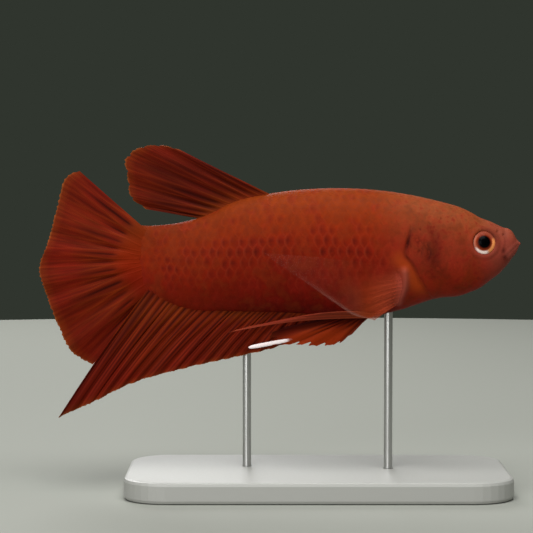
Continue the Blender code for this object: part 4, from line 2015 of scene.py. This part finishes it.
@dataclass(frozen=True)
class EyeFinish(Finish):
    """The eye under its wet cornea.

    To the eye: a black pupil in an iris of rosy orange, dusky at the top with painted shadow of the brow,
    bright gold in front, with a silver-white crescent below.
    """

    name: str = "wet_fish_eye"
    iris: Ramp = (
        (0.0, "#010101"), (0.49, "#010102"), (0.545, "#411007"), (0.66, "#7c2c12"), (0.8, "#9d4c33"),
        (0.93, "#9d533c"), (1.0, "#813c29"),
    )
    crescents: tuple[Crescent, ...] = (
        # Dusky at the top: painted shadow of the brow over the iris.
        Crescent(84, 80, (0.56, 0.76), "#6f291b", 0.62),
        Crescent(-176, 70, (0.66, 0.90), "#bf7660", 0.80),
        Crescent(-27, 56, (0.68, 0.84), "#ee9455", 0.95),
        Crescent(-106, 50, (0.72, 0.86), "#ffebe2", 1.0),
    )

    def surface(self, tree: bpy.types.NodeTree) -> dict[str, Any]:
        """Lays out the pattern.

        Args:
            tree: the material's node tree.

        Returns:
            The shader's settings and links.
        """
        spot = add_node(tree, "ShaderNodeUVMap", {"uv_map": "Iris"}).outputs[0]
        away = add_node(tree, "ShaderNodeVectorMath", {"operation": "LENGTH"}, {0: spot}).outputs["Value"]
        heading = add_node(tree, "ShaderNodeVectorMath", {"operation": "NORMALIZE"}, {0: spot}).outputs[0]
        layers = []
        for arc in self.crescents:
            way = (math.cos(math.radians(arc.degrees)), math.sin(math.radians(arc.degrees)), 0.0)
            none, full = (math.cos(math.radians(share * arc.half_arc)) for share in (1.0, 0.4))
            towards = add_node(
                tree, "ShaderNodeVectorMath", {"operation": "DOT_PRODUCT"}, {0: heading, 1: way}
            ).outputs["Value"]
            within, ahead = (
                add_node(
                    tree,
                    "ShaderNodeMapRange",
                    {"interpolation_type": "SMOOTHSTEP"},
                    {"Value": value, "From Min": low, "From Max": high},
                ).outputs[0]
                for value, low, high in ((away, *arc.inner), (towards, none, full))
            )
            mask = add_node(
                tree, "ShaderNodeMath", {"operation": "MULTIPLY"}, {0: within, 1: ahead}
            ).outputs[0]
            layers.append(Layer(mask, arc.share, arc.colour))
        rings = add_node(tree, "ShaderNodeValToRGB", {"stops": self.iris}, {"Fac": away}).outputs["Color"]
        return {
            "Base Color": paint(tree, rings, tuple(layers)),
            "Roughness": 0.40,
            "IOR": 1.38,
            "Specular IOR Level": 0.04,
            "Coat Weight": 0.02,
            "Coat Roughness": 0.06,
        }


@dataclass(frozen=True)
class PaintFinish(Finish):
    """Satin enamel sprayed on aluminium.

    To the eye: an even pale grey with soft highlights and the faint orange-peel of sprayed paint.
    """

    name: str = "sprayed_satin_enamel"
    colour: str = "#a2a29d"

    def surface(self, tree: bpy.types.NodeTree) -> dict[str, Any]:
        """Lays out the pattern.

        Args:
            tree: the material's node tree.

        Returns:
            The shader's settings and links.
        """
        places = add_node(tree, "ShaderNodeTexCoord").outputs["Object"]
        # Orange-peel, 0.5 mm across.
        peel = add_node(
            tree, "ShaderNodeTexNoise", inputs={"Vector": places, "Scale": 1 / (0.5 * MM), "Detail": 1.0}
        ).outputs[0]
        bump = add_node(
            tree, "ShaderNodeBump", inputs={"Height": peel, "Strength": 0.3, "Distance": 0.01 * MM}
        )
        rough = add_node(tree, "ShaderNodeMapRange", inputs={"Value": peel, "To Min": 0.36, "To Max": 0.48})
        return {"Base Color": linear(self.colour), "Roughness": rough.outputs[0], "Normal": bump.outputs[0]}


@dataclass(frozen=True)
class SteelFinish(Finish):
    """Drawn stainless steel rod.

    To the eye: a grey metal with fine scratches along its length.
    """

    name: str = "drawn_stainless_steel"
    colour: str = "#bcbcba"

    def surface(self, tree: bpy.types.NodeTree) -> dict[str, Any]:
        """Lays out the pattern.

        Args:
            tree: the material's node tree.

        Returns:
            The shader's settings and links.
        """
        places = add_node(tree, "ShaderNodeTexCoord").outputs["Object"]
        # Draw marks 0.1 mm wide and 6 mm long.
        drawn = add_node(
            tree,
            "ShaderNodeMapping",
            inputs={"Vector": places, "Scale": (1 / (0.1 * MM), 1 / (0.1 * MM), 1 / (6 * MM))},
        )
        marks = add_node(
            tree, "ShaderNodeTexNoise", inputs={"Vector": drawn.outputs[0], "Scale": 1.0, "Detail": 2.0}
        ).outputs[0]
        rough = add_node(tree, "ShaderNodeMapRange", inputs={"Value": marks, "To Min": 0.24, "To Max": 0.42})
        return {"Base Color": linear(self.colour), "Metallic": 1.0, "Roughness": rough.outputs[0]}


@dataclass(frozen=True)
class FloorFinish(Finish):
    """Plain pale matte floor."""

    name: str = "matte_floor"
    colour: str = "#8e9088"

    def surface(self, tree: bpy.types.NodeTree) -> dict[str, Any]:
        """Gives the shader's settings: the floor has no pattern."""
        return {"Base Color": linear(self.colour), "Roughness": 0.9}


@dataclass
class Fish:
    """The whole fish: skin, scales, eyes and fins."""

    plan: FishPlan
    coat_depth: float = 0.13 * MM

    def build_skin(self) -> None:
        """Builds the skin and both coats of scales."""
        hide = HideFinish().make()
        form = BodyForm(self.plan, self.coat_depth)
        skin = Skin(form, Relief(self.plan.length / MM))
        flesh = ("head", "lower_jaw", "gill_cover_left", "gill_cover_right", "trunk", "tail_stalk")
        place_piece(skin.build(), "skin", hide, flesh)
        body = BodyCoat(skin, ScalePattern(1.30, 1.55, 1.95, 1.72, 0.078, 0.030, (6, 6)), 7)
        place_piece(body.build(), "body_scales", hide)
        head = HeadCoat(skin, ScalePattern(0.95, 1.05, 1.95, 1.65, 0.045, 0.03, (5, 4)), 11)
        place_piece(head.build(), "head_scales", hide)

    def build_eyes(self) -> None:
        """Builds both eyes."""
        finish = EyeFinish().make()
        for side in Side:
            node = f"eye_{side.name.lower()}"
            place_piece(Eye(self.plan, side).build(), f"{node}_ball", finish, (node,))

    def build_fins(self) -> None:
        """Builds the pigmented fins, the left pelvic's white tip, then the clear pectoral fins."""
        finish = FinFinish().make()
        for shape in (CAUDAL, DORSAL, ANAL, NEAR_PELVIC, FAR_PELVIC):
            fin = Fin(self.plan, shape).build()
            if shape.flesh:
                self.blend_root(fin, *shape.flesh)
            if shape is NEAR_PELVIC:
                self.pale_lower_ray(fin)
            if shape is FAR_PELVIC:
                self.darken_top(fin)
            place_piece(fin, shape.name, finish, (shape.node,))
        tip = PaleTip(self.plan).build()
        place_piece(tip, "pelvic_fin_left_white_tip", PaleFinish().make(), ("pelvic_fin_left",))
        clear = ClearFinFinish().make()
        for side in Side:
            node = f"pectoral_fin_{side.name.lower()}"
            shape = replace(PECTORAL, name=f"{node}_rays", node=node, mirror=side.value)
            fin = Fin(self.plan, shape).build()
            self.fade(fin)
            place_piece(fin, shape.name, clear, (shape.node,))

    def blend_root(self, fin: bpy.types.Object, full: float, clear: float) -> None:
        """Marks the fleshy root of a fin, which takes the colours of the tail stalk.

        Args:
            fin: the fin.
            full: the share of the ray's length up to which there is only flesh.
            clear: the share past which there is none.
        """
        stalk_end = 0.96
        up = (read_points(fin)[:, 2] - self.plan.axis_z) / self.plan.length
        rise = BodyForm(self.plan, self.coat_depth).rise(np.full(len(up), stalk_end), up)
        write_values(fin, rise=rise, flesh=smooth_step(clear, full, read_values(fin, "reach")))

    @staticmethod
    def pale_lower_ray(fin: bpy.types.Object) -> None:
        """Marks the paler edges of the right pelvic fin, most of all the lower one.

        Args:
            fin: the fin.
        """
        across = read_values(fin, "across")
        pale = 0.20 + 0.16 * smooth_step(0.86, 0.97, across) + 0.10 * smooth_step(0.12, 0.02, across)
        write_values(fin, pale=pale)

    @staticmethod
    def darken_top(fin: bpy.types.Object) -> None:
        """Paints shadow on the root and the upper rays of the left pelvic fin, under the body and the right
        pelvic fin, and paints light shining through its lower ray tips.

        Args:
            fin: the fin.
        """
        across, reach = read_values(fin, "across"), read_values(fin, "reach")
        dark = np.maximum(smooth_step(0.70, 0.88, across), 0.85 * smooth_step(0.42, 0.12, reach))
        fin.data.attributes["shade"].data.foreach_set("value", dark.astype(np.float32))
        write_values(fin, glow=smooth_step(0.30, 0.70, reach) * smooth_step(0.88, 0.68, across))

    @staticmethod
    def fade(fin: bpy.types.Object) -> None:
        """Works out how solid the clear fin is at its root, rays and rim, and how far its red has paled.

        Args:
            fin: the fin.
        """
        reach, run, ray, across = (read_values(fin, name) for name in ("reach", "run", "ray", "across"))
        below = smooth_step(0.02, 0.55, across)
        ends = smooth_step(0.0, 0.30, across) * smooth_step(1.0, 0.85, across)
        flesh = 0.42 * ends * smooth_step(2.2, 0.0, run) + 0.55 * below * smooth_step(11.0, 0.0, run)
        rays = below * ray * (0.01 + 0.20 * smooth_step(8.0, 0.5, run))
        rim = 0.11 * hump(reach - 0.970, 0.036) * smooth_step(0.0, 0.45, across)
        edge = smooth_step(0.90, 0.97, reach) * smooth_step(3.0, 8.0, run)
        write_values(
            fin,
            solid=np.clip(0.02 + flesh + rays + rim, 0.0, 1.0),
            pale=np.maximum(run / 16.0, edge).clip(0.0, 1.0),
        )


@dataclass
class Stand:
    """The display stand, whose CAD shapes stay."""

    base: str = "stand_base"
    rods: tuple[str, ...] = ("stand_rod_front", "stand_rod_rear")

    def dress(self) -> None:
        """Gives the base its paint and the rods their steel."""
        paint, steel = PaintFinish().make(), SteelFinish().make()
        for names, finish in (((self.base,), paint), (self.rods, steel)):
            for name in names:
                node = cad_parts[name]
                for slot in node.material_slots:
                    slot.material = finish
                log.info("%s: kept, finish %s", name, finish.name)


@dataclass
class Studio:
    """Floor, lights and camera.

    Attributes:
        plan: where the fish lies.
        floor_radius: the floor's radius.
        distance: from the camera to the fish.
        view_width: how wide the view is at the fish.
        elevation: how far the camera looks down.
        aim_back: where the camera aims, in shares of the standard length.
        aim_up: how high it aims.
    """

    plan: FishPlan
    floor_radius: float = 0.32
    distance: float = 0.300
    view_width: float = 0.0754
    elevation: float = math.radians(3)
    aim_back: float = 0.649
    aim_up: float = -0.0418

    def lay_floor(self) -> None:
        """Lays the pale floor under the stand."""
        deselect_all()
        bpy.ops.mesh.primitive_circle_add(
            vertices=128, radius=self.floor_radius, fill_type="NGON", location=(0, 0, -0.02 * MM)
        )
        floor = bpy.context.object
        floor.name = "floor"
        floor.data.materials.append(FloorFinish().make())

    def hang_light(self, name: str, place: tuple[float, float, float], size: float, watts: float) -> None:
        """Hangs a square soft light that faces the fish.

        Args:
            name: the light's name.
            place: where it hangs.
            size: its side.
            watts: its power.
        """
        target = Vector(self.plan.place(0.5, 0.0, 0.0))
        deselect_all()
        bpy.ops.object.light_add(type="AREA", location=place)
        light = bpy.context.object
        light.name = name
        light.data.size = size
        light.data.energy = watts
        light.rotation_euler = (target - Vector(place)).to_track_quat("-Z", "Y").to_euler()

    def light(self) -> None:
        """Sets a dim even surround and three soft lights."""
        world = bpy.data.worlds.new("surround")
        world.use_nodes = True
        background = world.node_tree.nodes["Background"]
        background.inputs["Color"].default_value = linear("#30352e")
        background.inputs["Strength"].default_value = 1.0
        bpy.context.scene.world = world
        self.hang_light("top_light", (0.02, -0.14, 0.42), 0.34, 2.56)
        self.hang_light("front_light", (-0.20, -0.44, 0.14), 0.30, 1.28)
        self.hang_light("rear_light", (-0.10, 0.34, 0.26), 0.24, 1.00)

    def set_camera(self) -> None:
        """Places the camera square to the fish's right side."""
        target = Vector(self.plan.place(self.aim_back, 0.0, self.aim_up))
        ahead = Vector((0, math.cos(self.elevation), -math.sin(self.elevation)))
        data = bpy.data.cameras.new("camera")
        data.sensor_width = 36.0
        data.lens = data.sensor_width * self.distance / self.view_width
        data.clip_start = 0.01
        camera = bpy.data.objects.new("camera", data)
        bpy.context.scene.collection.objects.link(camera)
        camera.location = target - ahead * self.distance
        camera.rotation_euler = ahead.to_track_quat("-Z", "Y").to_euler()
        bpy.context.scene.camera = camera
        bpy.context.scene.view_settings.view_transform = "Standard"


def main() -> None:
    """Builds every piece in order."""
    logging.basicConfig(level=logging.INFO, format="%(name)s: %(message)s")
    plan = FishPlan.from_frame()
    log.info("standard length %.1f mm, snout at x %.2f mm", plan.length / MM, plan.snout_x / MM)
    studio = Studio(plan)
    studio.lay_floor()
    studio.light()
    studio.set_camera()
    fish = Fish(plan)
    fish.build_skin()
    fish.build_eyes()
    fish.build_fins()
    Stand().dress()


if __name__ == "__main__":
    main()
